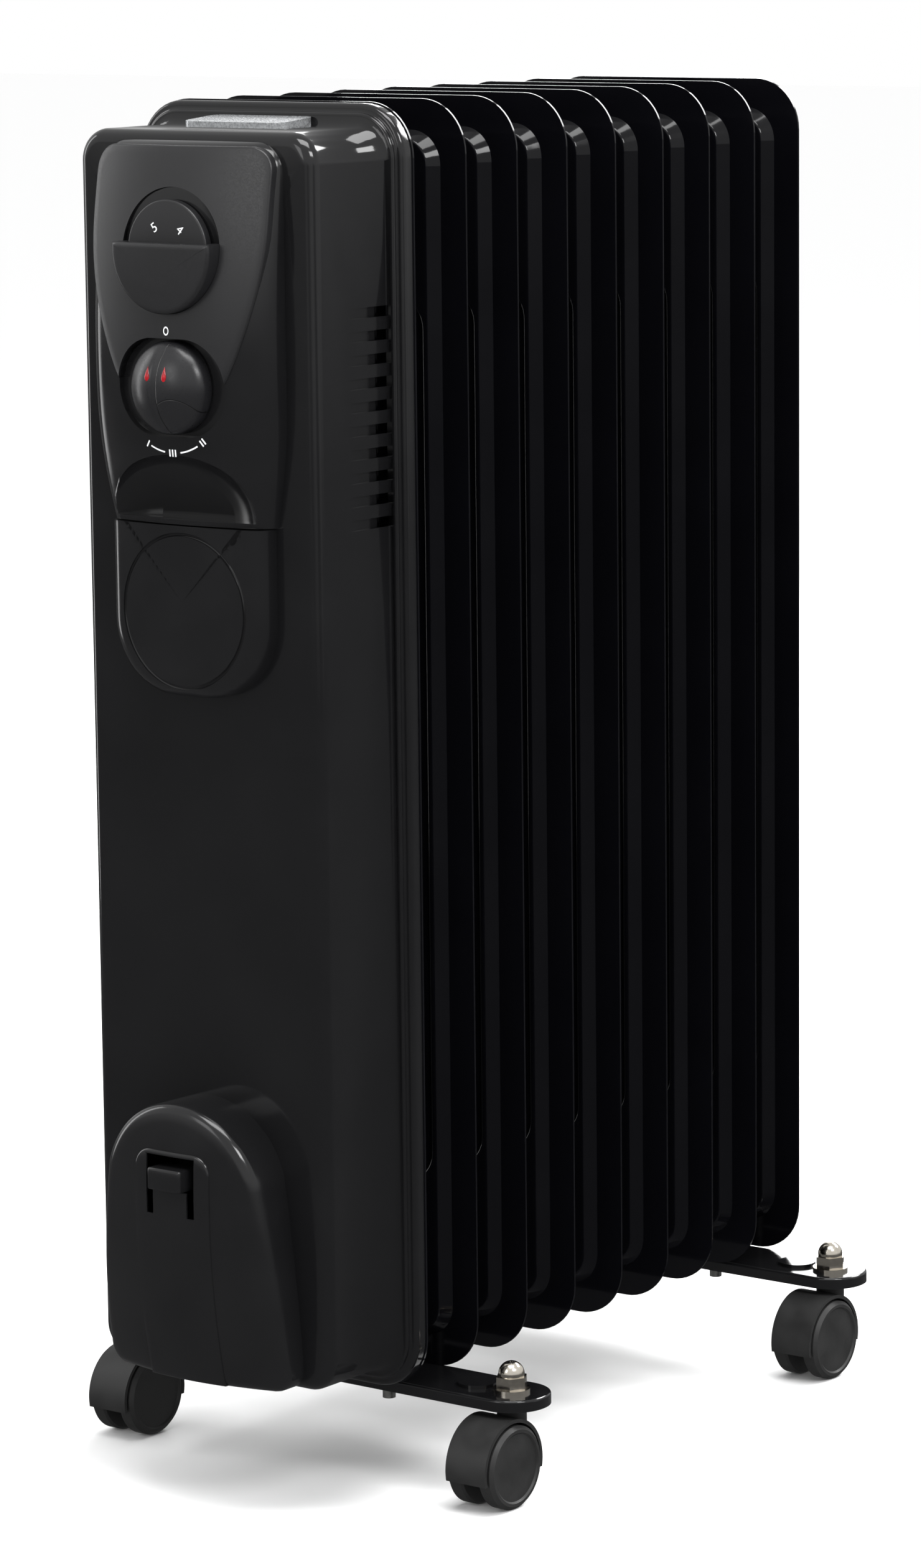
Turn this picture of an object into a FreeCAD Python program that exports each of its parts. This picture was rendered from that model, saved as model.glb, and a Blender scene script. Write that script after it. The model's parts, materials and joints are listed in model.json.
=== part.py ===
# Oil filled radiator heater: nine pressed steel fins on two headers, a control
# box on the first fin, and two foot brackets with four twin-wheel castors.
# Frame: +Z up, floor at Z = 0, the control box faces -Y, and the origin is at the
# middle of the heater's footprint. Millimetres.
import FreeCAD, Part
import math
import os
import re
import Sketcher

Vector = FreeCAD.Vector
doc = FreeCAD.newDocument("OilRadiator")
sheet = doc.addObject("Spreadsheet::Sheet", "Sizes")

sizes = {
    # used all over
    "tool_reach": 40,                 # length of the tools that cut right through a wall
    "press_gap": 0.02,           # radial gap of pieces pressed together
    "lap": 1,                    # how far joined solids run into each other
    # fins and headers
    "first_fin": -108.66,        # Y of the first fin's welded seam
    "fin_count": 9,
    "fin_pitch": 38.04,
    "fin_width": 150,
    "fin_bottom": 50,
    "fin_height": 578,
    "fin_corner": 24,
    "fin_sheet": 0.5,
    "rim_width": 13.5,
    "bulge_thickness": 13,
    "bulge_corner": 16,
    "bulge_slope": 32,           # degrees of draft on the pressed step
    "bulge_fillet": 1.6,
    "moat_width": 108,
    "moat_height": 402,
    "moat_corner": 14,
    "moat_band": 5,
    "moat_depth": 1.8,
    "upper_header": 578,         # Z of the upper header's axis
    "lower_header": 100,
    "upper_neck": 28,            # outside radii of the necks
    "lower_neck": 34.8,
    "neck_wall": 1,
    "plug_thread": 4,
    "plug_shank": 6,
    "plug_head": 7,
    "plug_head_height": 3,
    # heating elements
    "element_rod": 4,
    "element_spread": 12,
    "element_rise": 11,
    "long_element": 300,
    "short_element": 190,
    "terminal_reach": 20,
    "terminal_rod": 1.6,
    "element_plate": 3,
    "element_plug": 4,
    # control box
    "box_width": 132,
    "box_bottom": 60,
    "box_top": 617,
    "box_corner": 14,
    "box_depth": 60,             # from the first fin's seam to the box front
    "box_wall": 0.8,
    "box_edge": 6,
    "flange_width": 149,
    "flange_corner": 23.5,
    "flange_depth": 6.5,
    "flange_gap": 0.5,
    "roll_width": 141,
    "roll_corner": 19.5,
    "roll_depth": 2,
    "flange_fillet": 2.4,
    "roll_fillet": 1.4,
    "flange_skin": 1.2,
    "louvre_count": 10,
    "louvre_top": 538,
    "louvre_pitch": 10.26,
    "louvre_back": 10,           # distance in front of the first fin
    "louvre_length": 7.5,
    "louvre_height": 4.4,
    "grommet_bore": 3.6,
    "grommet_neck": 6,
    "grommet_flange": 8.5,
    "grommet_lip": 3,
    "grommet_depth": 30,
    # fascia and controls
    "fascia_top": 613,
    "fascia_bottom": 446,
    "fascia_half": 50.5,
    "fascia_foot_half": 43.5,
    "fascia_turn": 500,          # Z where the fascia starts to narrow
    "fascia_sweep": 110,         # radius of the narrowing sides
    "fascia_wall": 2.5,
    "fascia_bow": 79.2,          # furthest reach in front of the first fin
    "fascia_cross_radius": 180,
    "fascia_long_radius": 435,
    "fascia_middle": 522,
    "shield_skin": 1,
    "shield_tip": 27,
    "shield_margin": 1.5,
    "shield_shoulder": 30,
    "shield_sweep": 170,
    "dial_height": 566,
    "dial_recess": 27.4,
    "dial_floor": 73.5,          # reach of the recess floors from the first fin
    "cup_wall": 2,
    "hub_radius": 7,
    "dial_radius": 22.2,
    "dial_face": 78.6,
    "window_radius": 27.2,
    "window_face": 85,
    "window_inside": 79,
    "window_line": 3.5,          # the window cover ends this far above the dial's axis
    "knob_height": 506.6,
    "knob_radius": 20.5,
    "knob_reach": 88.5,
    "knob_sphere": 27,           # radius of the dome
    "knob_cap": 9.43,            # height of the dome on its rim
    "lens_radius": 1.5,
    "lens_spread": 4.5,
    "lens_rise": 8,
    "knob_recess_half": 21.5,
    "knob_recess_side": 8.5,
    "knob_core": 8,              # solid plastic between the knob's apex and its bore
    "knob_hub_end": 23,
    "floor_gap": 0.6,            # between a turning disc and the recess floor
    "cap_skin": 2,
    "hub_length": 10,
    "shaft_radius": 3,
    "shaft_gap": 0.3,
    "thermostat_half": 15,
    "thermostat_depth": 22,
    "switch_half": 16,
    "switch_depth": 26,
    "lamp_radius": 3,
    "lamp_length": 14,
    "lamp_side": 24,
    "terminal_half": 20,
    "terminal_depth": 16,
    "terminal_height": 18,
    "terminal_level": 150,
    "loom_radius": 3.5,
    "cutout_radius": 8,
    "cutout_depth": 9,
    "cutout_level": 300,
    "scoop_radius": 43,
    "scoop_centre": 434.5,
    "scoop_bottom": 447.8,
    "scoop_floor": 63.5,
    # cord storage
    "lip_bottom": 369.5,
    "lip_reach": 73,
    "lip_corner": 34,
    "lip_round": 3,
    "seam_gap": 0.4,
    "cover_bottom": 61,
    "cover_top": 191,
    "cover_foot_half": 51.5,
    "cover_corner": 8,
    "cover_shoulder_half": 42,
    "cover_shoulder": 158,
    "cover_arch": 44,
    "cover_bow": 88.6,
    "cover_cross_radius": 157,
    "cover_long_radius": 378,
    "cover_middle": 145,
    "clip_half": 13.6,
    "clip_top": 166,
    "clip_slot_bottom": 139,
    "clip_tongue_half": 9.6,
    "clip_hook_bottom": 150.5,
    "clip_hook_top": 161,
    "clip_reach": 93.5,
    # top pad
    "pad_width": 57,
    "pad_front": 33,
    "pad_back": 9.4,
    "pad_low": 2.6,
    "pad_high": 4.6,
    "pad_corner": 5,
    # foot brackets
    "bracket_half": 123,
    "bracket_width": 35,
    "bracket_height": 5.5,
    "bracket_steel": 1.6,
    "bracket_round": 1.2,
    "boss_radius": 9,
    "boss_rise": 1.5,
    "boss_x": 86,
    "front_castor": 22.52,       # Y of the castor stems behind the first fin
    "rear_castor": 286.1,
    "u_bolt_rod": 3,
    "u_bolt_radius": 38,
    "u_bolt_end": 37,
    "u_bolt_nut": 10,            # across the flats
    "u_bolt_nut_height": 5,
    "dome_washer": 8.5,
    "dome_washer_height": 1.5,
    "dome_hexagon": 7.5,         # circumradius
    "dome_hexagon_height": 5.5,
    "dome_radius": 6,
    "dome_level": 8,
    # castors
    "castor_x": 105.3,
    "castor_trail": 13.7,
    "wheel_radius": 19.2,
    "wheel_inner": 4.5,
    "wheel_outer": 13,
    "hood_radius": 22,
    "hood_half": 11,
    "hood_pocket": 20.3,
    "hood_web": 4,
    "hood_drop": 4.5,
    "axle_radius": 2.5,
    "axle_half": 11.2,
    "pin_radius": 2.75,
    "collar_radius": 6,
    "collar_bottom": 43.2,
    "pin_bottom": 26.5,
    "thread_radius": 4,
    "thread_end": 10,            # above the bracket's top
    "boss_collar": 6.8,
    "boss_bottom": 22.8,
    "boss_top": 42.8,
    "wheel_bevel": 1.6,
    "wheel_dish": 0.8,
    "wheel_rim": 3,
    "running_gap": 0.06,
}

for row, (alias, value) in enumerate(sizes.items(), 1):
    sheet.set("A%d" % row, alias.replace("_", " "))
    sheet.set("B%d" % row, str(value))
    sheet.setAlias("B%d" % row, alias)
doc.recompute()

nodes = []


def formula(text):
    """Point each size named in text at its cell in the sheet."""
    def cell(match):
        word = match.group(0)
        return "Sizes." + word if word in sizes else word
    return re.sub(r"[a-z_]+", cell, str(text))


def bind(thing, **lengths):
    for name, text in lengths.items():
        thing.setExpression(name, formula(text))


def place(thing, x=0, y=0, z=0):
    for axis, text in zip("xyz", (x, y, z)):
        thing.setExpression("Placement.Base." + axis, formula(text))
    return thing


def node(thing, label):
    thing.Label = label
    nodes.append(thing)
    return thing


# Part primitives. along turns a cylinder's length to the named axis.
turns = {
    "x": FreeCAD.Rotation(Vector(0, 1, 0), 90),
    "y": FreeCAD.Rotation(Vector(1, 0, 0), -90),
    "z": FreeCAD.Rotation(),
}


def cylinder(name, radius, length, x=0, y=0, z=0, along="y"):
    thing = doc.addObject("Part::Cylinder", name)
    thing.Placement.Rotation = turns[along]
    bind(thing, Radius=radius, Height=length)
    return place(thing, x, y, z)


def block(name, length, width, height, x=0, y=0, z=0):
    thing = doc.addObject("Part::Box", name)
    bind(thing, Length=length, Width=width, Height=height)
    return place(thing, x, y, z)


def centred_block(name, half, width, height, y, z):
    return block(name, "2 * (%s)" % half, width, height, "-(%s)" % half, y, z)


def half_ring(name, major, rod, y, z, stand=0):
    """A half ring lying flat, or standing up when stand is 90 degrees."""
    thing = doc.addObject("Part::Torus", name)
    thing.Placement.Rotation = FreeCAD.Rotation(Vector(1, 0, 0), stand)
    bind(thing, Radius1=major, Radius2=rod)
    thing.Angle3 = 180
    return place(thing, 0, y, z)


def many(kind, name, things):
    thing = doc.addObject(kind, name)
    thing.Shapes = things
    return thing


def fuse(name, *things):
    return many("Part::MultiFuse", name, things)


def common(name, *things):
    return many("Part::MultiCommon", name, things)


def cut(name, base, *tools):
    thing = doc.addObject("Part::Cut", name)
    thing.Base = base
    thing.Tool = tools[0] if len(tools) == 1 else fuse(name + "_tools", *tools)
    return thing


def group(name, things):
    thing = doc.addObject("Part::Compound", name)
    thing.Links = things
    return thing


# Sketched bodies
def new_body(name):
    return doc.addObject("PartDesign::Body", name)


def new_sketch(body, name, plane="XZ_Plane", offset=0):
    sketch = body.newObject("Sketcher::SketchObject", name)
    origin = [part for part in body.Origin.OriginFeatures if part.Role == plane][0]
    sketch.AttachmentSupport = [(origin, "")]
    sketch.MapMode = "FlatFace"
    sketch.setExpression("AttachmentOffset.Base.z", formula(offset))
    return sketch


def value_of(text):
    """The number that a formula gives now, for a sketch's first shape."""
    return float(eval_formula(text))


def eval_formula(text):
    probe = doc.getObject("Probe") or doc.addObject("App::FeaturePython", "Probe")
    if not hasattr(probe, "Reading"):
        probe.addProperty("App::PropertyFloat", "Reading")
    probe.setExpression("Reading", formula(text))
    probe.recompute()
    return probe.Reading


def rounded_rectangle(sketch, width, height, radius):
    """A rounded rectangle about the sketch's origin, driven by three formulas."""
    half_w, half_h, r = value_of(width) / 2, value_of(height) / 2, value_of(radius)
    across, up = half_w - r, half_h - r
    first = sketch.GeometryCount
    line = Part.LineSegment
    sketch.addGeometry([
        line(Vector(-across, -half_h), Vector(across, -half_h)),
        line(Vector(half_w, -up), Vector(half_w, up)),
        line(Vector(across, half_h), Vector(-across, half_h)),
        line(Vector(-half_w, up), Vector(-half_w, -up)),
    ])
    for turn, (x, y) in enumerate(((across, -up), (across, up), (-across, up), (-across, -up))):
        circle = Part.Circle(Vector(x, y), Vector(0, 0, 1), r)
        start = math.radians(90 * turn - 90)
        sketch.addGeometry(Part.ArcOfCircle(circle, start, start + math.pi / 2))
    rule = Sketcher.Constraint
    around = [first + step for step in (0, 4, 1, 5, 2, 6, 3, 7)]
    rules = [rule("Tangent", around[k], 2, around[(k + 1) % 8], 1) for k in range(8)]
    rules += [rule("Horizontal", first), rule("Horizontal", first + 2)]
    rules += [rule("Vertical", first + 1), rule("Vertical", first + 3)]
    rules += [rule("Equal", first + 4, first + k) for k in (5, 6, 7)]
    rules += [rule("Symmetric", first, 1, first + 2, 1, -1, 1)]
    sketch.addConstraint(rules)
    drive(sketch, rule("DistanceX", first + 3, 1, first + 1, 1, 2 * half_w), width)
    drive(sketch, rule("DistanceY", first, 1, first + 2, 1, 2 * half_h), height)
    drive(sketch, rule("Radius", first + 4, r), radius)


def drive(sketch, constraint, text):
    index = sketch.addConstraint(constraint)
    name = "size%d" % index
    sketch.renameConstraint(index, name)
    sketch.setExpression("Constraints." + name, formula(text))


def outline(sketch, corners):
    """A closed outline, anticlockwise. A corner is (x, y), or (x, y, radius) where
    an arc of that radius, bulging outwards, leads on to the next corner."""
    points = [Vector(value_of(corner[0]), value_of(corner[1])) for corner in corners]
    rule = Sketcher.Constraint
    count = len(corners)
    for k, corner in enumerate(corners):
        here, there = points[k], points[(k + 1) % count]
        if len(corner) == 2:
            sketch.addGeometry(Part.LineSegment(here, there))
            continue
        radius = value_of(corner[2])
        chord = there - here
        sag = math.sqrt(radius ** 2 - (chord.Length / 2) ** 2)
        inwards = Vector(-chord.y, chord.x).normalize()
        centre = (here + there) * 0.5 + inwards * sag
        start = math.atan2(here.y - centre.y, here.x - centre.x)
        end = math.atan2(there.y - centre.y, there.x - centre.x)
        if end < start:
            end += 2 * math.pi
        circle = Part.Circle(centre, Vector(0, 0, 1), radius)
        sketch.addGeometry(Part.ArcOfCircle(circle, start, end))
    for k, corner in enumerate(corners):
        sketch.addConstraint(rule("Coincident", k, 2, (k + 1) % count, 1))
        drive(sketch, rule("DistanceX", -1, 1, k, 1, points[k].x), corner[0])
        drive(sketch, rule("DistanceY", -1, 1, k, 1, points[k].y), corner[1])
        if len(corner) == 3:
            drive(sketch, rule("Radius", k, value_of(corner[2])), corner[2])


def pad(body, sketch, name, length, both_ways=False, taper=None):
    feature = body.newObject("PartDesign::Pad", name)
    feature.Profile = sketch
    bind(feature, Length=length)
    feature.SideType = "Symmetric" if both_ways else "One side"
    if taper:
        bind(feature, TaperAngle=taper)
    sketch.Visibility = False
    return feature


def pocket(body, sketch, name, length, reverse=False):
    doc.recompute()
    feature = body.newObject("PartDesign::Pocket", name)
    feature.Profile = sketch
    bind(feature, Length=length)
    feature.Reversed = reverse
    before = feature.BaseFeature.Shape.Volume
    doc.recompute()
    if not body.Shape.Volume < before:
        raise ValueError(name + " cuts nothing")
    return feature


def revolve(body, sketch, name):
    """Turn the sketch once round its own horizontal axis."""
    feature = body.newObject("PartDesign::Revolution", name)
    feature.Profile = sketch
    feature.ReferenceAxis = (sketch, ["H_Axis"])
    feature.Angle = 360
    sketch.Visibility = False
    return feature


def fillet(body, name, radius, wanted):
    """Round the edges of the body's last feature for which wanted(edge) is true."""
    doc.recompute()
    last = body.Tip
    edges = ["Edge%d" % k for k, edge in enumerate(last.Shape.Edges, 1) if wanted(edge)]
    if not edges:
        raise ValueError(name + " finds no edge")
    feature = body.newObject("PartDesign::Fillet", name)
    feature.Base = (last, edges)
    bind(feature, Radius=radius)
    return feature


def flat_at(axis, level):
    """A test for edges that lie in the plane axis = level."""
    number = value_of(level)

    def test(edge):
        box = edge.BoundBox
        low, high = (box.YMin, box.YMax) if axis == "y" else (box.ZMin, box.ZMax)
        return abs(low - number) < 0.01 and abs(high - number) < 0.01
    return test


def rim_at(reach, width, height):
    """A test for the edges of a plate of this width and height whose front is at reach."""
    level, side, top = -value_of(reach), value_of(width) / 2 - 1, value_of(height) / 2 - 1

    def test(edge):
        box = edge.BoundBox
        flat = abs(box.YMin - level) < 0.01 and box.YLength < 0.01
        return flat and (max(-box.XMin, box.XMax) > side or max(-box.ZMin, box.ZMax) > top)
    return test


# Fins: two sheets pressed alike and welded at the rim
def pressed_form(name, skin):
    """The pressed bulge of a fin, set in by skin, with the moat round its middle."""
    body = new_body(name)
    sketch = new_sketch(body, name + "_outline")
    inset = "2 * (rim_width + %s)" % skin
    rounded_rectangle(sketch, "fin_width - " + inset, "fin_height - " + inset, "bulge_corner - %s" % skin)
    pad(body, sketch, name + "_bulge", "bulge_thickness - 2 * %s" % skin, True, "-bulge_slope")
    doc.recompute()
    for side, reverse in ((1, False), (-1, True)):
        tag = "%s_moat_%s" % (name, "rear" if reverse else "front")
        level = "%d * (bulge_thickness / 2 - %s)" % (side, skin)
        ring = new_sketch(body, tag + "_ring", offset=level)
        grow, shrink = "2 * %s" % skin, "2 * (moat_band + %s)" % skin
        rounded_rectangle(ring, "moat_width + " + grow, "moat_height + " + grow, "moat_corner + %s" % skin)
        rounded_rectangle(ring, "moat_width - " + shrink, "moat_height - " + shrink,
                          "moat_corner - moat_band - %s" % skin)
        pocket(body, ring, tag, "moat_depth", reverse)
    return body


def fin_outside():
    form = pressed_form("fin_form", "0")
    level = value_of("bulge_thickness") / 2
    fillet(form, "fin_shoulders", "bulge_fillet",
           lambda edge: abs(abs(edge.BoundBox.YMin) - level) < 0.01 and edge.BoundBox.YLength < 0.01)
    rim = new_body("fin_rim")
    sketch = new_sketch(rim, "fin_rim_outline")
    rounded_rectangle(sketch, "fin_width", "fin_height", "fin_corner")
    pad(rim, sketch, "fin_rim_pad", "2 * fin_sheet", True)
    return fuse("fin_outside", form, rim)


def header_hole(name, radius, level, front, back):
    length = "(%s) - (%s)" % (back, front)
    return cylinder(name, radius, length, 0, front, level + " - fin_bottom - fin_height / 2")


def fins():
    outside = fin_outside()
    hollow = pressed_form("fin_hollow", "fin_sheet")
    face = "bulge_thickness / 2 + lap"
    count = int(sizes["fin_count"])
    for number in range(1, count + 1):
        tools = [hollow]
        back = "0" if number == count else face
        front_low = "-(%s)" % face
        front_high = "0" if number == 1 else front_low
        tag = "fin_%d_" % number
        tools.append(header_hole(tag + "lower_hole", "lower_neck - neck_wall - lap", "lower_header",
                                 front_low, back))
        tools.append(header_hole(tag + "upper_hole", "upper_neck - neck_wall - lap", "upper_header",
                                 front_high, back))
        if number == 1:
            tools.append(header_hole(tag + "filler_hole", "plug_thread", "upper_header", front_low, "0"))
        fin = cut(tag + "hollowed", outside, *tools)
        place(fin, 0, "first_fin + %d * fin_pitch" % (number - 1), "fin_bottom + fin_height / 2")
        node(fin, "fin_%d" % number)


def necks(label, radius, level):
    """The drawn necks that join each fin to the next, one ring for each gap."""
    rings = []
    length = "fin_pitch - bulge_thickness"
    for gap in range(int(sizes["fin_count"]) - 1):
        start = "first_fin + %d * fin_pitch + bulge_thickness / 2" % gap
        outer = cylinder("%s_%d_outer" % (label, gap), radius, length, 0, start, level)
        inner = cylinder("%s_%d_inner" % (label, gap), radius + " - neck_wall", length, 0, start, level)
        rings.append(cut("%s_%d" % (label, gap), outer, inner))
    node(group(label + "_group", rings), label)


def filler_plug():
    face = "first_fin - bulge_thickness / 2"
    shank = cylinder("plug_shank", "plug_thread - 5 * press_gap", "plug_shank", 0, face, "upper_header")
    head = cylinder("plug_head", "plug_head", "plug_head_height", 0, face + " - plug_head_height",
                    "upper_header")
    node(fuse("plug_solid", shank, head), "filler_plug")


def element_rods(name, reach, level):
    """One U-shaped tube heater: two straight legs, a return bend and two terminals."""
    start = "first_fin - bulge_thickness / 2 - element_plate - lap"
    parts = []
    for side in (-1, 1):
        across = "%d * element_spread" % side
        tag = "%s_%s" % (name, "left" if side < 0 else "right")
        parts.append(cylinder(tag + "_leg", "element_rod", reach, across, start, level))
        parts.append(cylinder(tag + "_terminal", "terminal_rod", "terminal_reach", across,
                              start + " - terminal_reach + 2 * lap", level))
    bend = half_ring(name + "_bend", "element_spread", "element_rod", "%s + %s" % (start, reach), level)
    return fuse(name + "_tube", *parts, bend)


def heating():
    levels = {"long": "lower_header + element_rise", "short": "lower_header - element_rise"}
    for name, level in levels.items():
        node(element_rods(name, name + "_element", level), "heating_element_" + name)
    face = "first_fin - bulge_thickness / 2"
    plate = cylinder("element_plate", "lower_neck + lap", "element_plate", 0, face + " - element_plate",
                     "lower_header")
    plug = cylinder("element_plug", "lower_neck - neck_wall - lap - 5 * press_gap", "element_plug", 0, face,
                    "lower_header")
    holes = []
    for name, level in levels.items():
        for side in (-1, 1):
            holes.append(cylinder("element_hole_%s_%d" % (name, side + 1), "element_rod + press_gap",
                                  "tool_reach", "%d * element_spread" % side, face + " - tool_reach / 2",
                                  level))
    node(cut("element_closure", fuse("element_plate_solid", plate, plug), *holes), "element_flange")


# Control box
def control_box():
    """A deep drawn steel box, open at the back, with a rolled flange on the first fin."""
    body = new_body("box")
    flange_height = "fin_height - 1"
    roll_height = flange_height + " - flange_width + roll_width"
    steps = (("flange", "flange_width", flange_height, "flange_corner", "flange_depth"),
             ("roll", "roll_width", roll_height, "roll_corner", "flange_depth + roll_depth"))
    for name, wide, tall, corner, depth in steps:
        plate = new_sketch(body, name + "_outline", offset="flange_gap")
        rounded_rectangle(plate, wide, tall, corner)
        pad(body, plate, name, depth)
        fillet(body, name + "_edge", name + "_fillet", rim_at("flange_gap + " + depth, wide, tall))
    for name, wide, tall, corner, depth in steps:
        hollow = new_sketch(body, name + "_hollow_outline", offset="0")
        rounded_rectangle(hollow, wide + " - 2 * flange_skin", tall + " - 2 * flange_skin",
                          corner + " - flange_skin")
        pocket(body, hollow, name + "_hollow", depth + " + flange_gap - flange_skin", True)
    place(body, 0, "first_fin", "fin_bottom + fin_height / 2")
    drawn = fuse("drawn_box", body, box_form("box_outside", "0"))
    behind = centred_block("box_behind", "fin_width", "tool_reach", "2 * fin_height",
                           "first_fin - flange_gap", "0")
    tools = [box_form("box_inside", "box_wall"), behind] + louvres()
    for level in ("dial_height", "knob_height"):
        tools.append(cylinder("box_hole_" + level, "shaft_radius + lap", "tool_reach / 2", 0,
                              "first_fin - box_depth - lap", level))
    tools.append(cylinder("grommet_hole", "grommet_neck + 2 * press_gap", "tool_reach / 2", 0,
                          "first_fin - grommet_depth", "box_bottom - tool_reach / 4", "z"))
    node(cut("box_shell", drawn, *tools), "control_box_shell")


def box_form(name, skin):
    """The deep box itself, set in by skin, with its front edge rounded."""
    body = new_body(name)
    walls = new_sketch(body, name + "_outline")
    rounded_rectangle(walls, "box_width - 2 * %s" % skin, "box_top - box_bottom - 2 * %s" % skin,
                      "box_corner - %s" % skin)
    pad(body, walls, name + "_walls", "box_depth - %s" % skin)
    fillet(body, name + "_edge", "box_edge - %s" % skin, flat_at("y", "-(box_depth - %s)" % skin))
    return place(body, 0, "first_fin", "(box_top + box_bottom) / 2")


def louvres():
    windows = []
    for side in (-1, 1):
        for step in range(int(sizes["louvre_count"])):
            name = "louvre_%d_%d" % (side + 1, step)
            windows.append(block(name, "4 * lap", "louvre_length", "louvre_height",
                                 "%d * box_width / 2 - 2 * lap" % side,
                                 "first_fin - louvre_back - louvre_length",
                                 "louvre_top - %d * louvre_pitch - louvre_height / 2" % step))
    return windows


def grommet():
    depth = "first_fin - grommet_depth"
    low = "box_bottom"
    neck = cylinder("grommet_neck_solid", "grommet_neck", "box_wall", 0, depth, low, "z")
    below = cylinder("grommet_below", "grommet_flange", "grommet_lip", 0, depth, low + " - grommet_lip", "z")
    above = cylinder("grommet_above", "grommet_flange", "grommet_lip", 0, depth, low + " + box_wall", "z")
    bore = cylinder("grommet_bore_tool", "grommet_bore", "tool_reach", 0, depth,
                    low + " - tool_reach / 2", "z")
    node(cut("grommet_solid", fuse("grommet_rubber", neck, below, above), bore), "cord_grommet")


def top_pad():
    body = new_body("pad_body")
    profile = new_sketch(body, "pad_profile", "YZ_Plane")
    outline(profile, [("-pad_front", 0), ("-pad_back", 0), ("-pad_back", "pad_high"),
                      ("-pad_front", "pad_low")])
    pad(body, profile, "pad_plate", "pad_width", True)
    fillet(body, "pad_ends", "pad_corner",
           lambda edge: edge.BoundBox.ZLength > 1 and edge.BoundBox.YLength < 0.01)
    place(body, 0, "first_fin", "box_top")
    node(body, "top_pad")


# Fascia: a shell bowed both across and along
def bowed_form(name, corners, skin, reach, cross, long, middle):
    """The outline's prism cut to a barrel-shaped front: a torus bowed across X and along Z."""
    body = new_body(name + "_prism")
    sketch = new_sketch(body, name + "_outline")
    outline(sketch, corners)
    pad(body, sketch, name + "_pad", "tool_reach")
    place(body, 0, "first_fin - box_depth", 0)
    barrel = doc.addObject("Part::Torus", name + "_barrel")
    barrel.Placement.Rotation = turns["x"]
    bind(barrel, Radius1="%s - %s" % (long, cross), Radius2="%s - (%s)" % (cross, skin))
    place(barrel, 0, "first_fin - (%s) + %s" % (reach, long), middle)
    return common(name, body, barrel)


def fascia_corners(inset):
    top = "fascia_top - %s" % inset
    low = "fascia_bottom + %s" % inset
    foot, full = "fascia_foot_half - %s" % inset, "fascia_half - %s" % inset
    return [("-(%s)" % foot, low), (foot, low, "fascia_sweep"), (full, "fascia_turn"), (full, top),
            ("-(%s)" % full, top), ("-(%s)" % full, "fascia_turn", "fascia_sweep")]


def fascia_bow(name, corners, skin):
    return bowed_form(name, corners, skin, "fascia_bow", "fascia_cross_radius", "fascia_long_radius",
                      "fascia_middle")


def recess(name, radius, level, grow="0"):
    """A round pocket from its floor out past the front of the fascia."""
    depth = "first_fin - dial_floor + (%s)" % grow
    return cylinder(name, "%s + %s" % (radius, grow), "tool_reach", 0, depth + " - tool_reach", level)


def knob_recess(name, grow="0"):
    ends = []
    depth = "first_fin - dial_floor + (%s)" % grow
    for side in (-1, 1):
        ends.append(cylinder("%s_end_%d" % (name, side + 1), "knob_recess_half + " + grow, "tool_reach",
                             "%d * knob_recess_side" % side, depth + " - tool_reach", "knob_height"))
    middle = centred_block(name + "_middle", "knob_recess_side", "tool_reach",
                           "2 * (knob_recess_half + %s)" % grow, depth + " - tool_reach",
                           "knob_height - knob_recess_half - " + grow)
    return fuse(name, *ends, middle)


def scoop(name):
    """The half-moon finger recess above the seam."""
    disc = cylinder(name + "_disc", "scoop_radius", "tool_reach", 0, "first_fin - scoop_floor - tool_reach",
                    "scoop_centre")
    above = centred_block(name + "_above", "scoop_radius", "2 * tool_reach", "scoop_radius",
                          "first_fin - scoop_floor - 1.5 * tool_reach", "scoop_bottom")
    return common(name, disc, above)


def fascia():
    outside = fascia_bow("fascia_outside", fascia_corners("0"), "0")
    inside = fascia_bow("fascia_inside", fascia_corners("fascia_wall"), "fascia_wall")
    keep = [recess("dial_cup", "dial_recess", "dial_height", "cup_wall"), knob_recess("knob_cup", "cup_wall"),
            centred_block("scoop_block", "1.5 * tool_reach", "1.5 * tool_reach", "1.5 * tool_reach",
                          "first_fin - box_depth - tool_reach - 10 * lap", "scoop_centre - 12 * lap")]
    space = cut("fascia_space", inside, *keep)
    tools = [space, recess("dial_pocket", "dial_recess", "dial_height"), knob_recess("knob_pocket"),
             scoop("scoop_pocket")]
    for level in ("dial_height", "knob_height"):
        tools.append(cylinder("hub_hole_" + level, "hub_radius + lap", "tool_reach", 0,
                              "first_fin - dial_floor - tool_reach / 2", level))
    node(cut("fascia_shell", outside, *tools), "fascia_panel")


def shield():
    """The thin satin inlay on the fascia, narrowing to the selector's recess."""
    half = "fascia_half - shield_margin"
    shoulder, top = "fascia_top - shield_shoulder", "fascia_top - 2 * shield_margin"
    corners = [("-shield_tip", "knob_height"), ("shield_tip", "knob_height", "shield_sweep"),
               (half, shoulder), (half, top),
               ("-(%s)" % half, top), ("-(%s)" % half, shoulder, "shield_sweep")]
    proud = fascia_bow("shield_proud", corners, "-shield_skin")
    under = fascia_bow("shield_under", corners, "0")
    plate = cut("shield_plate", proud, under, recess("shield_dial_hole", "dial_recess", "dial_height"),
                knob_recess("shield_knob_hole"))
    node(plate, "fascia_shield")


def dial_window_cover():
    face = "first_fin - window_face"
    disc = cylinder("window_disc", "window_radius", "window_face - dial_floor", 0, face, "dial_height")
    room = cylinder("window_room", "dial_radius + lap", "window_inside - dial_floor + lap", 0,
                    "first_fin - window_inside", "dial_height")
    above = centred_block("window_above", "tool_reach", "tool_reach", "tool_reach",
                          "first_fin - dial_floor - tool_reach / 2", "dial_height + window_line")
    node(cut("window_solid", disc, room, above), "dial_window_cover")


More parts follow.
